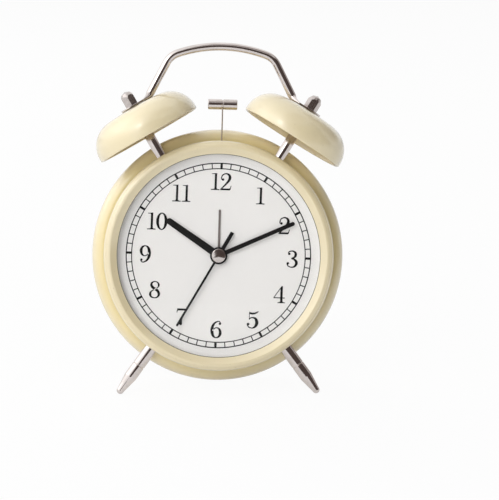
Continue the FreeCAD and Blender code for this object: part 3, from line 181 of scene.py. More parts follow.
def spun(points, steps, closed=True):
    """A bmesh of an outline spun about Z."""
    shape = bmesh.new()
    corners = [shape.verts.new((point[0], 0, point[1])) for point in points]
    pairs = list(zip(corners, corners[1:]))
    if closed:
        pairs.append((corners[-1], corners[0]))
    for pair in pairs:
        shape.edges.new(pair)
    bmesh.ops.spin(shape, geom=shape.verts[:] + shape.edges[:], cent=(0, 0, 0), axis=(0, 0, 1),
                   angle=math.tau, steps=steps, use_merge=True)
    bmesh.ops.remove_doubles(shape, verts=shape.verts, dist=MERGED_WITHIN)
    return shape


# %% [markdown]
# A finish is a small network of nodes. Writing it as sums and products keeps it readable, so this
# class wraps the output of a node and lets Python's own operators add the Math nodes. One function
# makes any other kind of node from its settings and its inputs.

# %% Shader maths as Python expressions
class Signal:
    """The output of a node, ready to be added to or multiplied."""

    def __init__(self, tree, socket):
        self.tree = tree
        self.socket = socket

    def maths(self, operation, first, second):
        inputs = {0: first, 1: second}
        return make_node(self.tree, "ShaderNodeMath", {"operation": operation}, inputs)

    def __add__(self, other):
        return self.maths("ADD", self, other)

    def __radd__(self, other):
        return self.maths("ADD", other, self)

    def __sub__(self, other):
        return self.maths("SUBTRACT", self, other)

    def __mul__(self, other):
        return self.maths("MULTIPLY", self, other)


def make_node(tree, kind, settings, inputs, output=0):
    """Any node: its settings first, then its inputs as values or links."""
    node = tree.nodes.new(kind)
    for key, value in settings.items():
        if key == "stops":
            ramp = node.color_ramp
            for stop, (position, grey) in enumerate(value):
                element = ramp.elements[stop]
                element.position = position
                element.color = (grey, grey, grey, 1)
        else:
            setattr(node, key, value)
    for key, value in inputs.items():
        if isinstance(value, Signal):
            tree.links.new(value.socket, node.inputs[key])
        else:
            node.inputs[key].default_value = value
    return Signal(tree, node.outputs[output])


def shade(red, green, blue):
    """A colour as it is read off a screen, 0 to 255, for a socket."""
    linear = []
    for value in (red, green, blue):
        part = value / 255
        linear.append(part / 12.92 if part <= 0.04045 else ((part + 0.055) / 1.055) ** 2.4)
    return (*linear, 1)


class Finish:
    """A material with a Principled surface and the patterns that vary over it."""

    def __init__(self, name, **constants):
        self.material = bpy.data.materials.new(name)
        self.material.use_nodes = True
        self.tree = self.material.node_tree
        self.surface = self.tree.nodes["Principled BSDF"]
        for key, value in constants.items():
            self.surface.inputs[key.replace("_", " ")].default_value = value
        self.place = make_node(self.tree, "ShaderNodeTexCoord", {}, {}, output=3)

    def stretched(self, stretch):
        return make_node(self.tree, "ShaderNodeMapping", {}, {"Vector": self.place, "Scale": stretch})

    def noise(self, scale, detail, place=None, roughness=0.5):
        inputs = {"Vector": place or self.place, "Scale": scale, "Detail": detail, "Roughness": roughness}
        return make_node(self.tree, "ShaderNodeTexNoise", {}, inputs)

    def from_axis(self):
        """Distance from the line through the dial's middle, in metres."""
        tilt = UPRIGHT.to_3x3().normalized().to_euler()
        inputs = {"Vector": self.place, "Location": UPRIGHT.translation, "Rotation": tilt}
        upright = make_node(self.tree, "ShaderNodeMapping", {"vector_type": "TEXTURE"}, inputs)
        flat = make_node(self.tree, "ShaderNodeVectorMath", {"operation": "MULTIPLY"},
                         {0: upright, 1: (1, 0, 1)})
        return make_node(self.tree, "ShaderNodeVectorMath", {"operation": "LENGTH"}, {0: flat}, output=1)

    def ramp(self, value, low, high):
        stops = [(low, 0.0), (high, 1.0)]
        return make_node(self.tree, "ShaderNodeValToRGB", {"stops": stops}, {"Fac": value})

    def mix(self, amount, first, second):
        inputs = {0: amount, 6: first, 7: second}
        return make_node(self.tree, "ShaderNodeMix", {"data_type": "RGBA"}, inputs, output=2)

    def feed(self, socket, value):
        self.tree.links.new(value.socket, self.surface.inputs[socket])

    def bump(self, height, depth, strength=1.0):
        inputs = {"Height": height, "Distance": depth, "Strength": strength}
        self.feed("Normal", make_node(self.tree, "ShaderNodeBump", {}, inputs))


# %% [markdown]
# ## Finishes
# The case is sheet steel with a thick, glossy cream enamel. Sprayed enamel is never quite even: it
# has a slow drift of tone, a faint orange peel that softens reflections, and a few specks of dust
# under the skin. Noise at three sizes gives these, and a clear coat gives the wet shine on top. Round
# the neck the case also carries painted shade: in the groove and on the shoulder, where bezel and
# bells shade it, the colour turns deeper and more olive. It is mixed by the distance from the clock's
# axis, because the groove is the only painted part of the case so near to it.

# %% Cream enamel
ENAMEL_TONE = (232, 219, 184)
# Painted shade round the neck: its tone, and the radii in mm where it is full and where it has gone.
GROOVE_PAINTED_SHADE = (226, 208, 144)
PAINTED_SHADE_FULL_RADIUS, PAINTED_SHADE_END_RADIUS = 54.0, 59.2


def enamel(name, red, green, blue, painted_shade=None):
    """Glossy sprayed paint. Near the dial's axis the colour can be mixed towards a painted shade tone."""
    paint = Finish(name, Coat_Weight=1.0, Coat_Roughness=0.06, Coat_IOR=1.6, IOR=1.8)
    drift = paint.noise(22, 3)
    peel = paint.noise(820, 2)
    dust = paint.ramp(paint.noise(1500, 1), 0.735, 0.76)
    light = shade(red, green, blue)
    warm = shade(red - 4, green - 7, blue - 14)
    speck = shade(red - 45, green - 52, blue - 60)
    coloured = paint.mix(dust * 0.5, paint.mix(drift, light, warm), speck)
    # Painted shade: full near the axis in the neck's groove, fading out across the shoulder.
    if painted_shade:
        beyond_painted_shade = paint.ramp(paint.from_axis() * 10, PAINTED_SHADE_FULL_RADIUS / 100, PAINTED_SHADE_END_RADIUS / 100)
        coloured = paint.mix(beyond_painted_shade, shade(*painted_shade), coloured)
    paint.feed("Base Color", coloured)
    paint.feed("Roughness", 0.3 + drift * 0.1 + dust * 0.2)
    paint.bump(peel + dust * 0.6, 0.000012)
    return paint.material


CREAM = enamel("cream_enamel", *ENAMEL_TONE)
# The case's enamel carries the painted shade round its neck.
CASE_CREAM_PAINTED_SHADE = enamel("case_enamel_painted_shade", *ENAMEL_TONE, painted_shade=GROOVE_PAINTED_SHADE)
print("enamel nodes:", len(CREAM.node_tree.nodes))

# %% [markdown]
# Legs, posts, handle and hammer are bright nickel over polished steel, and the nuts, plated loose in a
# barrel, are duller. A mirror with one roughness looks drawn, so faint smears from fingers and the
# fine haze that polishing leaves vary it, and a very shallow bump bends the long reflections a little.

# %% Polished and plain metal
def polished(name, red, green, blue, rough=0.07, haze=0.08):
    """Bright plated metal with smears and polishing haze."""
    metal = Finish(name, Metallic=1.0)
    smear = metal.ramp(metal.noise(140, 4, roughness=0.6), 0.42, 0.72)
    lines = metal.noise(900, 2, place=metal.stretched((1, 1, 0.12)))
    bright = shade(red, green, blue)
    dull = shade(red - 16, green - 16, blue - 18)
    metal.feed("Base Color", metal.mix(smear, bright, dull))
    metal.feed("Roughness", rough + smear * haze + lines * 0.03)
    metal.bump(lines * 0.3 + metal.noise(70, 1), 0.00004, 0.35)
    return metal.material


CHROME = polished("bright_nickel", 224, 216, 213)
BARREL_NICKEL = polished("barrel_nickel", 205, 197, 194, rough=0.2, haze=0.1)
STEEL = polished("plain_steel", 188, 189, 192, rough=0.28, haze=0.16)
COPPER = polished("copper_winding", 196, 120, 78, rough=0.32, haze=0.1)
BRASS = polished("turned_brass", 206, 172, 102, rough=0.24, haze=0.12)
CAN = polished("drawn_can", 196, 198, 201, rough=0.34, haze=0.1)
print("metals ready")

# %% [markdown]
# The plastic pieces are moulded. The rear cover comes from a mould with a fine eroded grain, and the
# knobs and wheels from smoother ones. A grain is a bump made of two sizes of noise. A third noise is
# the wear: where fingers rub, the plastic is smoother.

# %% Moulded plastic
def moulded(name, red, green, blue, rough=0.5, grain=0.00004, size=1600):
    """Moulded plastic with the grain of its mould."""
    plastic = Finish(name, IOR=1.5)
    fine = plastic.noise(size, 3, roughness=0.7)
    broad = plastic.noise(60, 2)
    rub = plastic.ramp(plastic.noise(35, 3), 0.5, 0.75)
    dark = shade(red, green, blue)
    dusty = shade(min(255, red + 16), min(255, green + 16), min(255, blue + 15))
    plastic.feed("Base Color", plastic.mix(fine * 0.35 + broad * 0.25, dark, dusty))
    plastic.feed("Roughness", rough + fine * 0.14 - rub * 0.1)
    plastic.bump(fine + broad * 0.2, grain, 0.6)
    return plastic.material


COVER = moulded("cover_plastic", 34, 34, 36)
KNOB = moulded("knob_plastic", 26, 26, 28, rough=0.38, grain=0.000012, size=2400)
SPACER = moulded("spacer_plastic", 226, 224, 219, rough=0.45, grain=0.00001)
NYLON = moulded("wheel_nylon", 226, 222, 208, rough=0.42, grain=0.00001)
HOUSING = moulded("housing_plastic", 44, 45, 48, rough=0.42, grain=0.00002)
LAMINATE = moulded("board_laminate", 28, 84, 44, rough=0.35, grain=0.00002, size=900)
SLEEVE = moulded("cell_sleeve", 46, 48, 54, rough=0.25, grain=0.000006)
RUBBER = moulded("gasket_rubber", 92, 87, 78, rough=0.7, grain=0.00002)
print("plastics ready")

# %% [markdown]
# The dial is a white lacquered plate with matt ink on it. The lacquer has a very fine tooth, and the
# ink lies on it as its own thin layer. The hands are sheet metal under satin black paint, and the
# alarm's hand is grey.

# %% Dial, ink and hand paint
def lacquer(name, red, green, blue, rough, grain):
    """A thin printed or painted layer."""
    layer = Finish(name, IOR=1.45)
    tooth = layer.noise(2600, 2)
    cloud = layer.noise(45, 2)
    base = shade(red, green, blue)
    other = shade(max(0, red - 5), max(0, green - 5), max(0, blue - 6))
    layer.feed("Base Color", layer.mix(cloud * 0.6 + tooth * 0.3, base, other))
    layer.feed("Roughness", rough + tooth * 0.12)
    layer.bump(tooth, grain, 0.5)
    return layer.material


DIAL_WHITE = lacquer("dial_lacquer", 253, 251, 249, 0.42, 0.00001)
INK = lacquer("printed_ink", 4, 4, 5, 0.75, 0.00001)
HAND_BLACK = lacquer("hand_black", 4, 4, 5, 0.5, 0.000008)
HAND_GREY = lacquer("hand_grey", 126, 117, 114, 0.35, 0.000008)
print("print and paint ready")

# %% [markdown]
# The glass is flat and thin. A full glass shader would bend light and darken the dial behind it, so
# the pane lets light straight through and adds a weak mirror on top, as a thin window pane does. Faint
# wipe marks change how much it mirrors from place to place.

# %% Flat glass
def window_glass(name):
    """A thin pane: clear, with a weak reflection."""
    pane = Finish(name)
    tree = pane.tree
    tree.nodes.remove(pane.surface)
    wipe = pane.noise(30, 3, place=pane.stretched((1, 1, 3)))
    clear = make_node(tree, "ShaderNodeBsdfTransparent", {}, {"Color": (0.99, 0.99, 0.99, 1)})
    mirror = make_node(tree, "ShaderNodeBsdfGlossy", {}, {"Roughness": 0.03})
    amount = 0.014 + wipe * 0.012
    both = make_node(tree, "ShaderNodeMixShader", {}, {0: amount, 1: clear, 2: mirror})
    tree.links.new(both.socket, tree.nodes["Material Output"].inputs["Surface"])
    return pane.material


GLASS = window_glass("flat_glass")
print("glass ready")

# %% [markdown]
# ## Case
# The case is one drawn shell: a narrow neck in front, a rounded shoulder, the drum, and a rear edge
# that is rolled inwards. Its wall is drawn as a closed outline, outer line and inner line, so the rim
# shows its thickness. In the top of the neck is the slot that the hammer's wire comes through.

# %% Case drum with the hammer's slot
SLOT_HALF = 4.95
SLOT_FRONT, SLOT_REAR = NECK_DEPTH - 1.3, NECK_DEPTH + 1.3


def case_outline():
    outer = [(52.0, 2.85, 0.2), (52.0, SLOT_FRONT), (52.0, SLOT_REAR), (52.0, 16.0, 0.6),
             (60.1, 16.0, 5.5), (60.1, 42.0, 2.5), (57.6, 42.0, 0.3)]
    inner = [(57.6, 41.2, 0.3), (59.3, 41.2, 1.6), (59.3, 16.8, 4.7), (51.2, 16.8, 0.6),
             (51.2, SLOT_REAR), (51.2, SLOT_FRONT), (51.2, 2.85, 0.2)]
    return rounded(outer + inner)


def cut_slot(shape):
    """Opens the neck's top for the hammer's wire, and closes the cut edges."""
    turn = DIAL_TURN.inverted() @ FACING
    gone = []
    for face in shape.faces:
        middle = turn @ face.calc_center_median()
        inside = abs(middle.x) < SLOT_HALF and SLOT_FRONT < middle.y < SLOT_REAR
        if inside and middle.z > 40:
            gone.append(face)
    bmesh.ops.delete(shape, geom=gone, context="FACES")
    edges = [edge for edge in shape.edges if edge.is_boundary]
    bmesh.ops.bridge_loops(shape, edges=edges)
    return len(gone)


case_shape = spun(case_outline(), 240)
print("faces taken out for the slot:", cut_slot(case_shape))
settle("case_drum_enamelled", mesh_of(case_shape), FACING, ["case_drum"], CASE_CREAM_PAINTED_SHADE)

# %% [markdown]
# The bezel is rolled from one ring of sheet. From the glass it rises to a crest, turns over in a
# quarter round, and runs back over the neck. The rolls leave two fine grooves, one on the rounded part
# and one near the rear edge. They are less than two tenths of a millimetre deep, but they draw the
# thin rings of light that the eye reads as a rolled edge, so they belong in the outline.

# %% Bezel
def bezel_outline():
    front = [(48.15, 2.6, 0.12), (48.15, 2.05, 0.25), (49.1, 1.55, 0.6), (51.15, 0.0, 0.5)]
    roll = [point + (0,) for point in arc(51.3, 3.1, 3.1, 270, 300, 4)[1:]]
    groove = [point + (0,) for point in arc(51.3, 3.1, 2.94, 304, 309, 1)]
    turn_over = [point + (0,) for point in arc(51.3, 3.1, 3.1, 313, 360, 6)]
    rear = [(54.4, 5.6, 0.1), (54.28, 5.75, 0.1), (54.28, 5.95, 0.1), (54.4, 6.1, 0.1), (54.4, 7.0, 0.25),
            (52.05, 7.0, 0.1), (52.05, 2.6, 0.1)]
    corners = []
    for corner in front + roll + groove + turn_over + rear:
        corners.append(corner if corner[-1] else corner[:2])
    return rounded(corners)


bezel = mesh_of(spun(bezel_outline(), 240))
settle("bezel_enamelled", bezel, FACING, ["front_bezel"], CREAM, edge_angle=50)

# %% [markdown]
# Between bezel and dial lie a dark gasket, the flat glass and a pale spacer ring. The glass is a disc
# with ground edges: a circle is extruded for its thickness and its rim is bevelled. The gasket shows
# only as a thin dark line, but without it the glass would seem to float.

# %% Gasket, glass and spacer
def disc(radius, thickness, segments):
    """A bmesh of a flat disc with straight sides."""
    shape = bmesh.new()
    bmesh.ops.create_circle(shape, cap_ends=True, radius=radius, segments=segments)
    raised = bmesh.ops.extrude_face_region(shape, geom=shape.faces[:])["geom"]
    upper = [item for item in raised if isinstance(item, bmesh.types.BMVert)]
    bmesh.ops.translate(shape, verts=upper, vec=(0, 0, thickness))
    return shape


gasket = rounded([(47.9, 2.6, 0.04), (51.1, 2.6), (51.1, 2.78), (47.9, 2.78, 0.04)])
settle("gasket_ring", mesh_of(spun(gasket, 240)), FACING, ["glass_gasket"], RUBBER)

glass_shape = disc(51.1, 1.18, 180)
rim = [edge for edge in glass_shape.edges if abs(edge.verts[0].co.z - edge.verts[1].co.z) < 1e-6]
bmesh.ops.bevel(glass_shape, geom=rim, offset=0.15, segments=2, profile=0.5, affect="EDGES", material=-1)
settle("glass_pane", mesh_of(glass_shape), shifted(depth=2.81) @ FACING, ["glass_lens"], GLASS)

spacer = rounded([(48.45, 4.02, 0.15), (51.12, 4.02), (51.12, 7.28), (48.45, 7.28, 0.15)])
settle("spacer_ring", mesh_of(spun(spacer, 240)), FACING, ["dial_spacer"], SPACER)

# %% [markdown]
# ## Dial
# The plate is a thin disc with a hole for the bush. Its print is modelled as flat ink a few
# hundredths of a millimetre thick: two thin circles with sixty marks between them, and the numerals.
# Flat artwork suits Blender's 2D curves, which fill a closed outline and can give it a thickness.

# %% Dial plate
plate = rounded([(3.5, 7.32, 0.03), (51.12, 7.32), (51.12, 7.68), (3.5, 7.68)])
settle("dial_plate_white", mesh_of(spun(plate, 180)), DIAL_TURN @ FACING, ["dial_plate"], DIAL_WHITE)
INK_THICKNESS = 0.03
READING = Matrix.Rotation(math.radians(90), 4, "X")
PRINT = DIAL_TURN @ shifted(depth=7.29) @ READING


def flat_mesh(loops, thickness, bevel=0.0):
    """A flat shape from closed loops of points, as read from the front. Inner loops are holes."""
    drawing = bpy.data.curves.new("drawing", "CURVE")
    drawing.dimensions = "2D"
    drawing.fill_mode = "BOTH"
    drawing.extrude = thickness / 2 - bevel
    drawing.bevel_depth = bevel
    drawing.bevel_resolution = 1
    drawing.offset = -bevel
    for loop in loops:
        line = drawing.splines.new("POLY")
        line.points.add(len(loop) - 1)
        for point, (across, up) in zip(line.points, loop):
            point.co = (across, up, 0, 1)
        line.use_cyclic_u = True
    carrier = bpy.data.objects.new("drawing", drawing)
    mesh = bpy.data.meshes.new_from_object(carrier)
    bpy.data.objects.remove(carrier)
    bpy.data.curves.remove(drawing)
    return mesh


def merged(meshes):
    """One mesh from several."""
    shape = bmesh.new()
    for mesh in meshes:
        shape.from_mesh(mesh)
        bpy.data.meshes.remove(mesh)
    return mesh_of(shape)


# %% [markdown]
# The track is two circles and sixty marks. Every fifth mark is thick. The marks reach a little into
# both circles, so that the ink joins.

# %% Minute track
def ring_loops(radius, width):
    return [circle(0, 0, edge, 240) for edge in (radius + width / 2, radius - width / 2)]


def bar_loop(angle, low, high, width):
    """A straight mark at a clock angle, between two radii."""
    turn = Matrix.Rotation(math.radians(-angle), 2)
    half = width / 2
    corners = ((-half, low), (half, low), (half, high), (-half, high))
    return [tuple(turn @ Vector(corner)) for corner in corners]


TRACK_INNER, TRACK_OUTER = 41.2, 43.75
THIN_MARK, THICK_MARK = 0.46, 1.1
track = [flat_mesh(ring_loops(TRACK_INNER, 0.46), INK_THICKNESS),
         flat_mesh(ring_loops(TRACK_OUTER, 0.52), INK_THICKNESS)]
for minute in range(60):
    width = THIN_MARK if minute % 5 else THICK_MARK
    track.append(flat_mesh([bar_loop(minute * 6, TRACK_INNER, TRACK_OUTER, width)], INK_THICKNESS))
settle("minute_track_ink", merged(track), PRINT, [], INK)

# %% [markdown]
# The numerals have strong uprights, hairlines, flat feet and round drops at their ends. Such a letter
# is drawn well as pen strokes: a smooth line through a few points, each with the stroke's width there.
# The outline is that line moved half a width to both sides. All numbers are thousandths of a
# numeral's height.

# %% Pen strokes
INK_SPREAD = 18


def near(points, index, closed=False):
    """An item of a line. Past its ends, a closed line goes round and an open one stops."""
    return points[index % len(points) if closed else min(max(index, 0), len(points) - 1)]


def smooth_line(points, closed):
    """A smooth line through points of (across, up, width), by blending four neighbours at a time."""
    line = []
    for index in range(len(points) if closed else len(points) - 1):
        around = [Vector(near(points, index + step, closed)) for step in (-1, 0, 1, 2)]
        before, start, finish, after = around
        for step in range(8):
            part = step / 8
            bend = (finish - before) * part
            bend += (before * 2 - start * 5 + finish * 4 - after) * part ** 2
            bend += (start * 3 - before - finish * 3 + after) * part ** 3
            line.append(start + bend / 2)
    if not closed:
        line.append(Vector(points[-1]))
    return line


def pen_stroke(points, closed=False, spread=INK_SPREAD):
    """The loops round a stroke of changing width."""
    line = smooth_line(points, closed)
    left, right = [], []
    for index, here in enumerate(line):
        along = near(line, index + 1, closed) - near(line, index - 1, closed)
        side = Vector((-along.y, along.x)).normalized() * (here.z + spread) / 2
        left.append((here.x + side.x, here.y + side.y))
        right.append((here.x - side.x, here.y - side.y))
    return [left, right] if closed else [left + right[::-1]]


def drop(across, up, radius):
    return [circle(across, up, radius, 18)]


def foot(left, right, middle, stem):
    """A thin flat foot that swells a little where it meets its stem."""
    half = stem / 2
    return [[(left, 0), (right, 0), (right, 50), (middle + half + 50, 60), (middle + half, 100),
             (middle - half, 100), (middle - half - 50, 60), (left, 50)]]


# %% [markdown]
# Each numeral is a short list of strokes. The nine is the six turned upside down.

# %% The ten figures
FULL_WIDTH = 660
FIGURES = {
    "0": [
        pen_stroke([
            (320, 978, 45), (170, 880, 90), (90, 670, 140), (75, 500, 150), (90, 330, 140),
            (170, 120, 90), (320, 22, 45), (470, 120, 90), (550, 330, 140), (565, 500, 150),
            (550, 670, 140), (470, 880, 90)
        ], closed=True),
    ],
    "1": [
        [[(235, 50), (365, 50), (365, 995), (300, 985), (60, 965), (60, 930), (235, 925)]],
        foot(30, 530, 300, 130),
    ],
    "2": [
        drop(165, 625, 70),
        pen_stroke([
            (100, 610, 30), (70, 700, 45), (130, 880, 50), (330, 972, 56), (510, 900, 110),
            (565, 740, 145), (490, 550, 125), (320, 340, 80), (150, 160, 60), (40, 50, 50)]),
        [[(0, 0), (570, 0), (620, 60), (665, 270), (630, 280), (590, 150), (540, 105), (120, 105),
          (0, 30)]],
    ],
    "3": [
        drop(140, 800, 70),
        drop(75, 245, 75),
        pen_stroke([
            (75, 810, 30), (140, 930, 50), (320, 975, 50), (480, 900, 105), (525, 760, 135),
            (450, 610, 95), (270, 535, 45)]),
        pen_stroke([
            (270, 530, 45), (440, 485, 90), (560, 360, 140), (565, 220, 145), (470, 75, 90),
            (290, 22, 45), (100, 90, 50), (20, 220, 35)]),
    ],
    "4": [
        [[(390, 50), (530, 50), (530, 1000), (490, 1000), (390, 840)]],
        [[(500, 1000), (450, 1000), (0, 340), (0, 280), (45, 330), (460, 930)]],
        [[(0, 280), (650, 280), (650, 335), (0, 335)]],
        foot(240, 670, 460, 140),
    ],
    "5": [
        drop(85, 245, 78),
        [[(125, 990), (165, 955), (300, 925), (460, 940), (580, 985), (660, 1020), (685, 1000),
          (600, 900), (460, 835), (320, 815), (160, 840), (125, 860)]],
        [[(125, 970), (165, 970), (160, 560), (125, 500)]],
        pen_stroke([
            (130, 520, 30), (200, 600, 50), (340, 635, 60), (500, 580, 120), (580, 420, 165),
            (575, 250, 165), (470, 85, 100), (300, 22, 45), (120, 80, 50), (30, 210, 35)]),
    ],
    "6": [
        drop(550, 840, 72),
        pen_stroke([
            (600, 860, 30), (530, 955, 45), (420, 975, 50), (240, 870, 90), (120, 660, 140),
            (95, 400, 165), (170, 130, 120), (340, 20, 45), (520, 110, 110), (585, 310, 145),
            (520, 520, 100), (370, 605, 45), (220, 540, 45), (140, 420, 45)]),
    ],
    "7": [
        [[(50, 985), (640, 985), (640, 900), (560, 865), (130, 865), (80, 835), (55, 740), (20, 740)]],
        pen_stroke([
            (600, 930, 70), (530, 760, 45), (400, 540, 55), (300, 330, 105), (275, 150, 150),
            (280, 75, 150)]),
        drop(280, 78, 77),
    ],
    "8": [
        pen_stroke([
            (335, 978, 60), (170, 920, 95), (115, 775, 140), (200, 630, 155), (335, 545, 155),
            (500, 420, 155), (570, 240, 145), (490, 75, 95), (310, 22, 60), (130, 80, 100),
            (60, 240, 135), (130, 400, 80), (320, 520, 45), (490, 630, 60), (550, 780, 110),
            (480, 920, 80)
        ], closed=True, spread=0),
    ],
}
FIGURES["9"] = [[[(FULL_WIDTH - across, 1000 - up) for across, up in loop] for loop in stroke]
                for stroke in FIGURES["6"]]
print("figures:", len(FIGURES))

# %% [markdown]
# The numerals stand upright on a circle, each centred on its hour. Figures of a pair sit close. Drawn
# dials are seldom quite regular, so a numeral also has a small nudge of its own, in millimetres.

# %% Numerals on the dial
FIGURE_SCALE = 8.1 / 1000
NUMERAL_RADIUS = 35.1
NARROW = {"1": 560, "0": 640}
NUDGES = {1: (1.4, -1.4), 2: (0.3, -2.3), 3: (0, -0.5), 4: (-0.9, 0), 5: (-0.4, 0.4), 7: (1.1, 0.8),
          8: (0.8, 0.4), 9: (0.4, -0.4), 10: (0.7, -2.2), 11: (-1.0, -1.4)}


def numeral(hour):
    """The ink of one hour's numeral, in its place on the dial."""
    text = str(hour)
    advances = [NARROW.get(figure, FULL_WIDTH) for figure in text]
    start = -sum(advances) / 2
    angle = math.radians(hour * 30)
    middle = Vector((math.sin(angle), math.cos(angle))) * NUMERAL_RADIUS + Vector(NUDGES.get(hour, (0, 0)))
    strokes = []
    for figure, advance in zip(text, advances):
        for loops in FIGURES[figure]:
            placed = []
            for loop in loops:
                placed.append([(middle.x + (start + across) * FIGURE_SCALE,
                                middle.y + (up - 500) * FIGURE_SCALE) for across, up in loop])
            strokes.append(flat_mesh(placed, INK_THICKNESS))
        start += advance
    return merged(strokes)


numerals = merged([numeral(hour) for hour in range(1, 13)])
settle("numerals_ink", numerals, PRINT, [], INK)

# %% [markdown]
# ## Hands
# The hands are stamped from sheet: a bar with a round tip that grows out of a round hub. Each is one
# outline, given its thickness and a soft edge. They sit in layers on nested pipes, so each casts its
# own shadow on the dial.

# %% Hands
HAND_THICKNESS, HAND_EDGE = 0.2, 0.04


def hand_loop(hub, length, root_width, tip_width):
    """A hub with a bar to one side that ends round."""
    tip = tip_width / 2
    swing = math.degrees(math.asin(root_width / 2 / hub))
    loop = arc(0, 0, hub, 90 + swing, 450 - swing, 40)
    return loop + arc(0, length - tip, tip, 0, 180, 12)


def hand(name, loops, depth, angle, body, replaced, finish):
    mesh = merged([flat_mesh(loops, HAND_THICKNESS, HAND_EDGE)])
    place = clockwise(angle) @ shifted(depth=depth + HAND_THICKNESS / 2) @ READING
    settle(name, mesh, place, [replaced], finish, body)


hand("alarm_hand_grey", [hand_loop(3.0, 21.8, 1.1, 1.0), circle(0, 0, 2.25, 36)], 6.7, 1.6,
     "alarm_indicator", "alarm_hand", HAND_GREY)
hand("hour_hand_black", [hand_loop(3.0, 29.9, 3.5, 3.0), circle(0, 0, 1.65, 36)], 6.1, 305.0,
     "hours", "hour_hand", HAND_BLACK)
hand("minute_hand_black", [hand_loop(3.0, 39.2, 2.1, 1.9), circle(0, 0, 1.05, 36)], 5.5, 66.9,
     "minutes", "minute_hand", HAND_BLACK)

# %% [markdown]
# The second hand is the slimmest. It has a disc over the axis and a short square tail that balances
# it, and the disc carries a small polished dome.

# %% Second hand and its polished cap
def second_loop(hub, length, width, tail, tail_width):
    upper = math.degrees(math.asin(width / 2 / hub))
    lower = math.degrees(math.asin(tail_width / 2 / hub))
    loop = arc(0, 0, hub, 90 + upper, 270 - lower, 24)
    loop += [(-tail_width / 2, -tail), (tail_width / 2, -tail)]
    loop += arc(0, 0, hub, 270 + lower, 450 - upper, 24)
    return loop + arc(0, length - width / 2, width / 2, 0, 180, 8)


def turned(name, outline, steps, place, replaced, body="clock_case"):
    """A piece of bright metal from an outline that starts and ends on its axis."""
    mesh = mesh_of(spun(outline, steps, closed=False))
    settle(name, mesh, place, [replaced], CHROME, body)


SECOND_ANGLE = 210.9
hand("second_hand_black", [second_loop(4.1, 38.9, 1.05, 12.8, 1.8)], 4.9, SECOND_ANGLE, "seconds",
     "second_hand", HAND_BLACK)
shares = [part / 10 for part in range(10)]
dome = [(3.3 * share, 4.12 + 0.58 * share ** 1.5) for share in shares]
dome += [(3.2, 4.68), (3.27, 4.76), (3.3, 4.9), (0, 4.9)]
turned("cap_polished", dome, 72, clockwise(SECOND_ANGLE) @ FACING, "hand_cap", "seconds")

# %% [markdown]
# ## Bells
# A bell is pressed from sheet steel: a short skirt, a round shoulder and a nearly flat crown, with
# its lip turned to a soft edge. The wall is a closed outline again, and the inside is painted like the
# outside.

# %% Bells
BELL_ANGLE = 31.0
LEG_ANGLE = 36.0
BELL_RADIUS = 26.1
BELL_WALL = 0.9
SHOULDER_RADIUS, SHOULDER_HEIGHT = 13.0, 67.5
CROWN_RADIUS = 150.0


def bell_outline():
    """The wall's outer line, its inner line back again, and the lip that joins them."""
    aside = BELL_RADIUS - SHOULDER_RADIUS
    swing = math.asin(aside / (CROWN_RADIUS - SHOULDER_RADIUS))
    turn = 90 - math.degrees(swing)
    crown_middle = SHOULDER_HEIGHT + (SHOULDER_RADIUS - CROWN_RADIUS) * math.cos(swing)
    walls = []
    for inset in (0, BELL_WALL):
        shoulder = arc(aside, SHOULDER_HEIGHT, SHOULDER_RADIUS - inset, 0, turn, 20)
        walls.append(shoulder + arc(0, crown_middle, CROWN_RADIUS - inset, turn, 90, 8)[1:])
    half = BELL_WALL / 2
    return walls[0] + walls[1][::-1] + arc(BELL_RADIUS - half, 66.15, half, 180, 360, 8)


for side, angle in (("left", -BELL_ANGLE), ("right", BELL_ANGLE)):
    bell = mesh_of(spun(bell_outline(), 144))
    settle(f"{side}_bell_enamelled", bell, TOP @ outwards(angle), [f"{side}_bell"], CREAM)

# %% [markdown]
# The posts are turned from bar, with a small shoulder and a washer under each bell. The legs have a
# fine groove where the straight part begins to look like a foot, then taper to a round tip. Both are
# plain turned outlines.

# %% Posts and legs
post_line = rounded([(0, 50.9), (1.5, 50.9), (1.5, 51.9), (3.1, 51.9, 0.15), (3.1, 52.6, 0.25),
                     (2.45, 52.6, 0.1), (2.45, 79.1, 0.2), (1.5, 79.1), (1.5, 86.9), (0, 86.9)],
                    closed=False)
leg_line = rounded([(0, 50.9), (2.0, 50.9), (2.0, 51.9), (3.0, 51.9, 0.3), (3.0, 64.3, 0.12),
                    (2.7, 64.38, 0.05), (2.7, 64.72, 0.05), (3.0, 64.8, 0.12), (3.0, 71.3, 1.2),
                    (1.75, 79.0)], closed=False)
leg_line += arc(0, 79.35, 1.75, 0, 90, 10)
for side, sign in (("left", -1), ("right", 1)):
    post_place = TOP @ outwards(BELL_ANGLE * sign)
    turned(f"{side}_post_polished", post_line, 64, post_place, f"{side}_post")
    turned(f"{side}_leg_polished", leg_line, 64, outwards(180 - LEG_ANGLE * sign), f"{side}_leg")

# %% [markdown]
# ## Cap nuts
# A cap nut is a hexagon bar whose end is turned to a dome. So it is made the same way here: a
# six-sided prism, and a turned blank, and what they share is the nut.

# %% Cap nuts
NUT_SEAT = 82.1
NUT_CORNER, NUT_BAR = 3.46, 7.8


def soften_edges(piece, width, angle):
    """A Bevel modifier on the edges that turn more than an angle."""
    edge = piece.modifiers.new("edge", "BEVEL")
    edge.width = width
    edge.segments = 2
    edge.limit_method = "ANGLE"
    edge.angle_limit = math.radians(angle)
    return edge


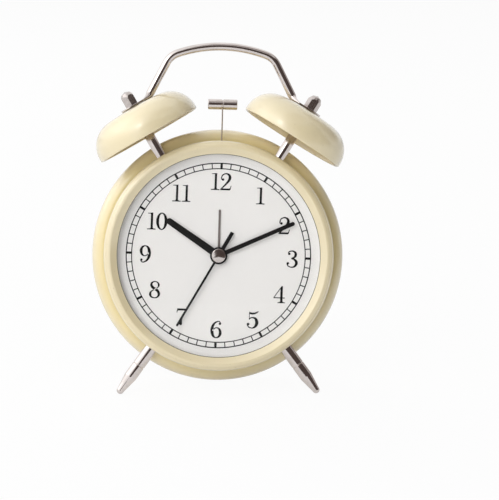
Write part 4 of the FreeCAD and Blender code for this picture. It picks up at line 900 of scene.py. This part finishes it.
def cap_nut(facing):
    """A hexagon prism cut to a dome by a turned blank."""
    prism = disc(NUT_CORNER, NUT_BAR, 6)
    bmesh.ops.rotate(prism, verts=prism.verts, matrix=Matrix.Rotation(math.radians(facing), 3, "Z"))
    blank = rounded([(0, 0.02), (3.0, 0.02, 0.3), (3.6, 0.6, 0.3), (3.6, 4.1, 0.8), (2.9, 5.4, 0.8),
                     (2.2, 6.6, 1.2), (0, 7.4)], closed=False)
    tool = added("blank", mesh_of(spun(blank, 96, closed=False)))
    nut = added("nut", mesh_of(prism))
    common = nut.modifiers.new("common", "BOOLEAN")
    common.operation = "INTERSECT"
    common.object = tool
    soften_edges(nut, 0.12, 35)
    graph = bpy.context.evaluated_depsgraph_get()
    mesh = bpy.data.meshes.new_from_object(nut.evaluated_get(graph))
    bpy.data.objects.remove(tool)
    bpy.data.objects.remove(nut)
    return mesh


nut_shape = bmesh.new()
for angle, facing in ((-BELL_ANGLE, 0), (BELL_ANGLE, 30)):
    nut_mesh = cap_nut(facing)
    nut_mesh.transform(TOP @ outwards(angle) @ shifted(up=NUT_SEAT - 0.1))
    nut_shape.from_mesh(nut_mesh)
settle("cap_nuts_polished", mesh_of(nut_shape), Matrix(), ["cap_nuts"], BARREL_NICKEL,
       edge_angle=28)

# %% [markdown]
# ## Handle
# The handle is one length of round bar, bent twice, with its ends hammered flat and punched for the
# posts. A circle swept along a path gives the bar. Towards each end the same section grows wider and
# thinner, so the bar runs into its flat end without a seam, as it does in real forging.

# %% Handle
ROD = 1.95
TAB_HALF, TAB_THIN, TAB_PAST, TAB_SQUARE = 5.0, 0.5, 0.9, 0.45
TAB_LENGTH = 5.0
OUT = Vector((math.sin(math.radians(BELL_ANGLE)), 0, math.cos(math.radians(BELL_ANGLE))))
ASIDE = Vector((OUT.z, 0, -OUT.x))
EYE = OUT * 81.65 + Vector((0, NECK_DEPTH, 0))
SPLAY_ANGLE, JOIN_ANGLE = 27.2, 70.589
SPLAY = Vector((-math.sin(math.radians(SPLAY_ANGLE)), 0, math.cos(math.radians(SPLAY_ANGLE))))
BEND_END = Vector((33.593, NECK_DEPTH, 76.723))
SIDE_ARC = (17.780, 86.709, 9.5)
TOP_ARC = (0.0, 36.25, 63.0)


def handle_rings():
    """Places along the right half, each with half a width, half a thickness and a squareness."""
    rings = []
    for aside in (4.99, 4.93, 4.8, 4.5, 3.9, 3.0, 1.7, 0):
        half_width = math.sqrt(TAB_HALF ** 2 - aside ** 2)
        rings.append((EYE + ASIDE * (TAB_PAST + aside), half_width, TAB_THIN, TAB_SQUARE))
    rings.append((EYE - ASIDE * TAB_LENGTH / 2, TAB_HALF, TAB_THIN, TAB_SQUARE))
    tab_end = EYE - ASIDE * TAB_LENGTH
    steps = 14
    bend = interpolate_bezier(tab_end, tab_end - ASIDE * 2.6, BEND_END - SPLAY * 1.6, BEND_END, steps)
    for step, spot in enumerate(bend):
        part = step / (steps - 1)
        ease = part * part * (3 - 2 * part)
        rings.append((spot, TAB_HALF + (ROD - TAB_HALF) * ease, TAB_THIN + (ROD - TAB_THIN) * ease,
                      TAB_SQUARE + (1 - TAB_SQUARE) * ease))
    round_part = arc(*SIDE_ARC, SPLAY_ANGLE, JOIN_ANGLE, 12) + arc(*TOP_ARC, JOIN_ANGLE, 90, 14)[1:]
    for across, up in round_part:
        rings.append((Vector((across, NECK_DEPTH, up)), ROD, ROD, 1.0))
    return rings


def cross_section(shape, spot, along, half_width, half_height, square):
    """A ring across the bar: round, or wide and thin with blunt corners."""
    ring = bmesh.ops.create_circle(shape, radius=1, segments=40)["verts"]
    for corner in ring:
        corner.co.x = math.copysign(abs(corner.co.x) ** square, corner.co.x) * half_width
        corner.co.y = math.copysign(abs(corner.co.y) ** square, corner.co.y) * half_height
    wide = Vector((0, 1, 0))
    turn = Matrix((wide, along.cross(wide), along)).transposed().to_4x4()
    bmesh.ops.transform(shape, matrix=Matrix.Translation(spot) @ turn, verts=ring)
    return [edge for edge in shape.edges if edge.verts[0] in ring]


def handle_mesh():
    half = handle_rings()
    mirrored = []
    for spot, wide, thick, square in half[-2::-1]:
        mirrored.append((Vector((-spot.x, spot.y, spot.z)), wide, thick, square))
    rings = half + mirrored
    shape = bmesh.new()
    last = None
    for index, (spot, wide, thick, square) in enumerate(rings):
        along = (near(rings, index + 1)[0] - near(rings, index - 1)[0]).normalized()
        edges = cross_section(shape, spot, along, max(wide, 0.25), thick, square)
        if last:
            bmesh.ops.bridge_loops(shape, edges=last + edges)
        else:
            bmesh.ops.edgeloop_fill(shape, edges=edges)
        last = edges
    bmesh.ops.edgeloop_fill(shape, edges=last)
    return mesh_of(shape)


settle("handle_polished", handle_mesh(), TOP, ["handle"], CHROME)

# %% [markdown]
# ## Hammer
# The hammer's wire comes up from the movement through the slot in the neck. Its head is a short
# turned bar that lies across, with a fine groove in the middle where the wire is pressed in.

# %% Hammer
PIVOT_HEIGHT, HEAD_HEIGHT = 27.0, 44.8
RESTING_ANGLE = -0.5
HAMMER = DIAL_TURN @ shifted(depth=NECK_DEPTH, up=PIVOT_HEIGHT) @ clockwise(RESTING_ANGLE)
head_line = rounded([(0, -6.95), (2.5, -6.95, 0.3), (2.5, -0.45, 0.1), (2.25, -0.3, 0.1), (2.25, 0.3, 0.1),
                     (2.5, 0.45, 0.1), (2.5, 6.95, 0.3), (0, 6.95)], closed=False)
head_place = HAMMER @ shifted(up=HEAD_HEIGHT) @ Matrix.Rotation(math.radians(90), 4, "Y")
turned("hammer_head_polished", head_line, 72, head_place, "hammer_head", "hammer")
wire_line = rounded([(0, 3.0), (0.325, 3.0), (0.325, 42.6), (0, 42.6)], closed=False)
turned("hammer_wire_bright", wire_line, 24, HAMMER, "hammer_wire", "hammer")

# %% [markdown]
# ## Back and inside
# The parts at the back keep their CAD shape. Their edges are softened by a Bevel modifier, which needs
# a merged copy of the mesh, because a CAD mesh is loose triangles.

# %% Softened copies of the CAD parts
SOFTENED = {
    "rear_cover": (COVER, "cover_plastic", 0.25),
    "battery_cover": (COVER, "cover_plastic", 0.15),
    "time_knob": (KNOB, "knob_plastic", 0.12),
    "alarm_knob": (KNOB, "knob_plastic", 0.12),
    "alarm_switch": (KNOB, "knob_plastic", 0.12),
    "cover_screws": (STEEL, "steel", 0.08),
}


def softened(name, finish, width):
    """A merged copy of a CAD part with small rounded edges."""
    source = nodes[name]
    shape = bmesh.new()
    shape.from_mesh(source.data)
    bmesh.ops.remove_doubles(shape, verts=shape.verts, dist=0.000002)
    level = math.radians(0.5)
    bmesh.ops.dissolve_limit(shape, angle_limit=level, verts=shape.verts, edges=shape.edges)
    mesh = bpy.data.meshes.new(name)
    shape.to_mesh(mesh)
    shape.free()
    mesh.shade_smooth()
    mesh.set_sharp_from_angle(angle=math.radians(30))
    piece = added(name + "_moulded", mesh)
    mesh.materials.append(finish)
    soften_edges(piece, width / 1000, 40).harden_normals = True
    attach(piece, carrier_of(name))
    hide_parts(name)
    return piece


def carrier_of(name):
    """The moving body that carries a CAD part."""
    bodies = frame["record"]["behaviour"]["bodies"]
    return next(body for body, members in bodies.items() if name in members)


for name, (finish, slot, width) in SOFTENED.items():
    print(softened(name, finish, width).name, "on", carrier_of(name))

# %% [markdown]
# Parts that are seldom seen still need their finish, since someone may open the clock.

# %% Finishes of the CAD parts that stay as they are
INSIDE = (
    (STEEL, ("post_nuts", "leg_nuts", "stator", "hammer_pin", "plus_contact", "minus_contact")),
    (NYLON, ("alarm_wheel", "hour_wheel", "centre_wheel", "third_wheel", "second_wheel", "rotor",
             "time_set_shaft", "alarm_set_shaft", "hammer_cam", "hammer_lever")),
    (HOUSING, ("movement_front", "movement_rear", "switch_base")),
    (CAN, ("quartz_crystal", "bell_motor")),
    (BRASS, ("minute_pinion",)),
    (COPPER, ("coil",)),
    (LAMINATE, ("circuit_board",)),
    (SLEEVE, ("battery_cell",)),
)
for finish, names in INSIDE:
    for name in names:
        nodes[name].data.materials.clear()
        nodes[name].data.materials.append(finish)
    print(finish.name, "on", len(names), "parts inside")

# %% [markdown]
# ## Studio
# The photograph has a white background and soft light from the upper left and from the front. The
# camera is far away with a long lens, so the clock hardly shows perspective.

# %% Camera
EYE_POINT = Vector((-34.0, -1150.0, 29.0))
AIM = Vector((14.4, 0, 2.8))
VIEW_WIDTH = 235.8

away = EYE_POINT - AIM
backwards = away.normalized()
right_side = Vector((0, 0, 1)).cross(backwards).normalized()
camera_data = bpy.data.cameras.new("camera")
camera_data.sensor_width = 36
camera_data.lens = 36 * away.length / VIEW_WIDTH
camera_data.clip_end = 20
camera = added("camera", camera_data)
turn = Matrix((right_side, backwards.cross(right_side), backwards)).transposed()
camera.matrix_world = (Matrix.Translation(UPRIGHT @ EYE_POINT)
                       @ (UPRIGHT.to_3x3().normalized() @ turn).to_4x4())
bpy.context.scene.camera = camera
print("camera lens:", round(camera_data.lens, 1), "mm at", round(away.length / 1000, 2), "m")

# %% [markdown]
# The lamps are large soft boxes all round: in front, overhead, at the upper left and at the back, and
# weaker ones at the sides. They only light the clock: none of them shows as a shape in its metal.

# %% Lamps
CLOCK_MIDDLE = UPRIGHT @ Vector((0, 20, 0))


def towards(azimuth, elevation, distance):
    """A place round the clock: azimuth 0 is in front, positive to the right."""
    turn, rise = math.radians(azimuth), math.radians(elevation)
    way = Vector((math.sin(turn) * math.cos(rise), -math.cos(turn) * math.cos(rise), math.sin(rise)))
    return CLOCK_MIDDLE + way * distance


def soft_box(name, azimuth, elevation, distance, width, height, power):
    """A lamp that faces the clock and doesn't show in reflections."""
    lamp_data = bpy.data.lights.new(name, "AREA")
    lamp_data.shape = "RECTANGLE"
    lamp_data.size = width
    lamp_data.size_y = height
    lamp_data.energy = power
    lamp = added(name, lamp_data)
    lamp.location = towards(azimuth, elevation, distance)
    direction = CLOCK_MIDDLE - towards(azimuth, elevation, distance)
    lamp.rotation_euler = direction.to_track_quat("-Z", "Y").to_euler()
    lamp.visible_glossy = False


soft_box("key_light", -38, 37, 1.4, 0.8, 0.8, 6.4)
soft_box("left_light", -85, 24, 1.4, 1.2, 1.2, 2.2)
soft_box("left_low", -100, 9, 1.4, 1.0, 0.4, 3.2)
soft_box("top_light", -50, 78, 1.8, 2.0, 2.0, 11.0)
soft_box("front_light", -16, 8, 1.8, 1.2, 1.2, 14.0)
soft_box("right_low", 92, 7, 1.4, 0.8, 0.3, 3.0)
soft_box("rear_light", -155, 42, 1.4, 0.9, 0.9, 9.0)
print("lamps:", len(bpy.data.lights))

# %% [markdown]
# The camera sees the floor and the sky as white, or nearly so. Mirrors see the floor a little greyer,
# since the real one lies partly in the clock's own shade. A small share of the floor stays lit paper,
# which takes the shadow. The sky lights the clock only faintly.

# %% Floor and sky
def studio_piece(name, shape, finish):
    """A piece of the studio from a bmesh."""
    mesh = bpy.data.meshes.new(name)
    shape.to_mesh(mesh)
    shape.free()
    mesh.materials.append(finish)
    return added(name, mesh)


def white_backdrop(tree, plain, output, white_share, mirrored_share):
    """Mixes plain white into what the camera, metal and glass see of a backdrop."""
    glow = make_node(tree, "ShaderNodeEmission", {}, {"Color": (1, 1, 1, 1), "Strength": 1.0})
    ray = tree.nodes.new("ShaderNodeLightPath")
    seen, mirrored, through = [Signal(tree, ray.outputs[f"Is {kind} Ray"])
                               for kind in ("Camera", "Glossy", "Transmission")]
    direct = seen.maths("MAXIMUM", seen, through) * white_share
    amount = direct.maths("MAXIMUM", direct, mirrored * mirrored_share)
    inputs = {0: amount, 1: Signal(tree, plain.outputs[0]), 2: glow}
    both = make_node(tree, "ShaderNodeMixShader", {}, inputs)
    tree.links.new(both.socket, tree.nodes[output].inputs["Surface"])


paper = bpy.data.materials.new("white_paper")
paper.use_nodes = True
matt = paper.node_tree.nodes["Principled BSDF"]
matt.inputs["Base Color"].default_value = (0.78, 0.78, 0.78, 1)
matt.inputs["Roughness"].default_value = 0.9
matt.inputs["Specular IOR Level"].default_value = 0.0
white_backdrop(paper.node_tree, matt, "Material Output", white_share=0.95, mirrored_share=0.5)
floor_shape = bmesh.new()
bmesh.ops.create_grid(floor_shape, x_segments=1, y_segments=1, size=3.0)
floor = studio_piece("floor", floor_shape, paper)

sky = bpy.data.worlds.new("sky")
bpy.context.scene.world = sky
sky.use_nodes = True
dim = sky.node_tree.nodes["Background"]
dim.inputs["Color"].default_value = (1, 1, 1, 1)
dim.inputs["Strength"].default_value = 0.1
white_backdrop(sky.node_tree, dim, "World Output", white_share=1.0, mirrored_share=1.0)
bpy.context.scene.view_settings.view_transform = "Standard"

# %% [markdown]
# Bright metal is mostly what it mirrors. Curved cards that show only in reflections give it windows,
# a dark room and a grey ceiling, and they give the enamel its highlights. A card fades out towards its
# edge by a number kept on each of its points.

# %% Cards that show in reflections
WHITE = (255, 255, 255)


def card(name, azimuth, elevation, half_width, half_height, tone, soft, power=1.0):
    """A curved card of a tone, which fades out over `soft` degrees at its edge."""
    sheet = bmesh.new()
    bmesh.ops.create_grid(sheet, x_segments=32, y_segments=16, size=1)
    fade = sheet.verts.layers.float.new("fade")
    for point in sheet.verts:
        across, up = point.co.x, point.co.y
        point[fade] = (min(1.0, (1 - abs(across)) * half_width / soft)
                       * min(1.0, (1 - abs(up)) * half_height / soft))
        point.co = towards(azimuth + across * half_width, elevation + up * half_height, 2.4)
    paint = bpy.data.materials.new(name)
    paint.use_nodes = True
    tree = paint.node_tree
    clear = make_node(tree, "ShaderNodeBsdfTransparent", {}, {})
    glow = make_node(tree, "ShaderNodeEmission", {}, {"Color": shade(*tone), "Strength": power})
    shown = make_node(tree, "ShaderNodeAttribute", {"attribute_name": "fade"}, {}, output=2)
    both = make_node(tree, "ShaderNodeMixShader", {}, {0: shown, 1: clear, 2: glow})
    tree.links.new(both.socket, tree.nodes["Material Output"].inputs["Surface"])
    screen = studio_piece(name, sheet, paint)
    for ray in ("camera", "diffuse", "shadow", "transmission"):
        setattr(screen, "visible_" + ray, False)
    return screen


cards = [
    card("left_glow", -82, 40, 52, 32, WHITE, 20, 1.6),
    card("dark_room", 36, 20, 60, 31, (82, 72, 69), 7),
    card("dark_beam", 12, 43, 32, 8, (50, 42, 40), 5),
    card("grey_ceiling", 40, 66, 64, 18, (166, 158, 155), 10),
    card("grey_side", 118, 27, 24, 28, (156, 147, 143), 10),
    card("key_window", -38, 38, 11, 9, WHITE, 5, 5.0),
    card("left_window", -98, 30, 10, 9, WHITE, 5, 12.0),
]
print("cards:", len(cards))
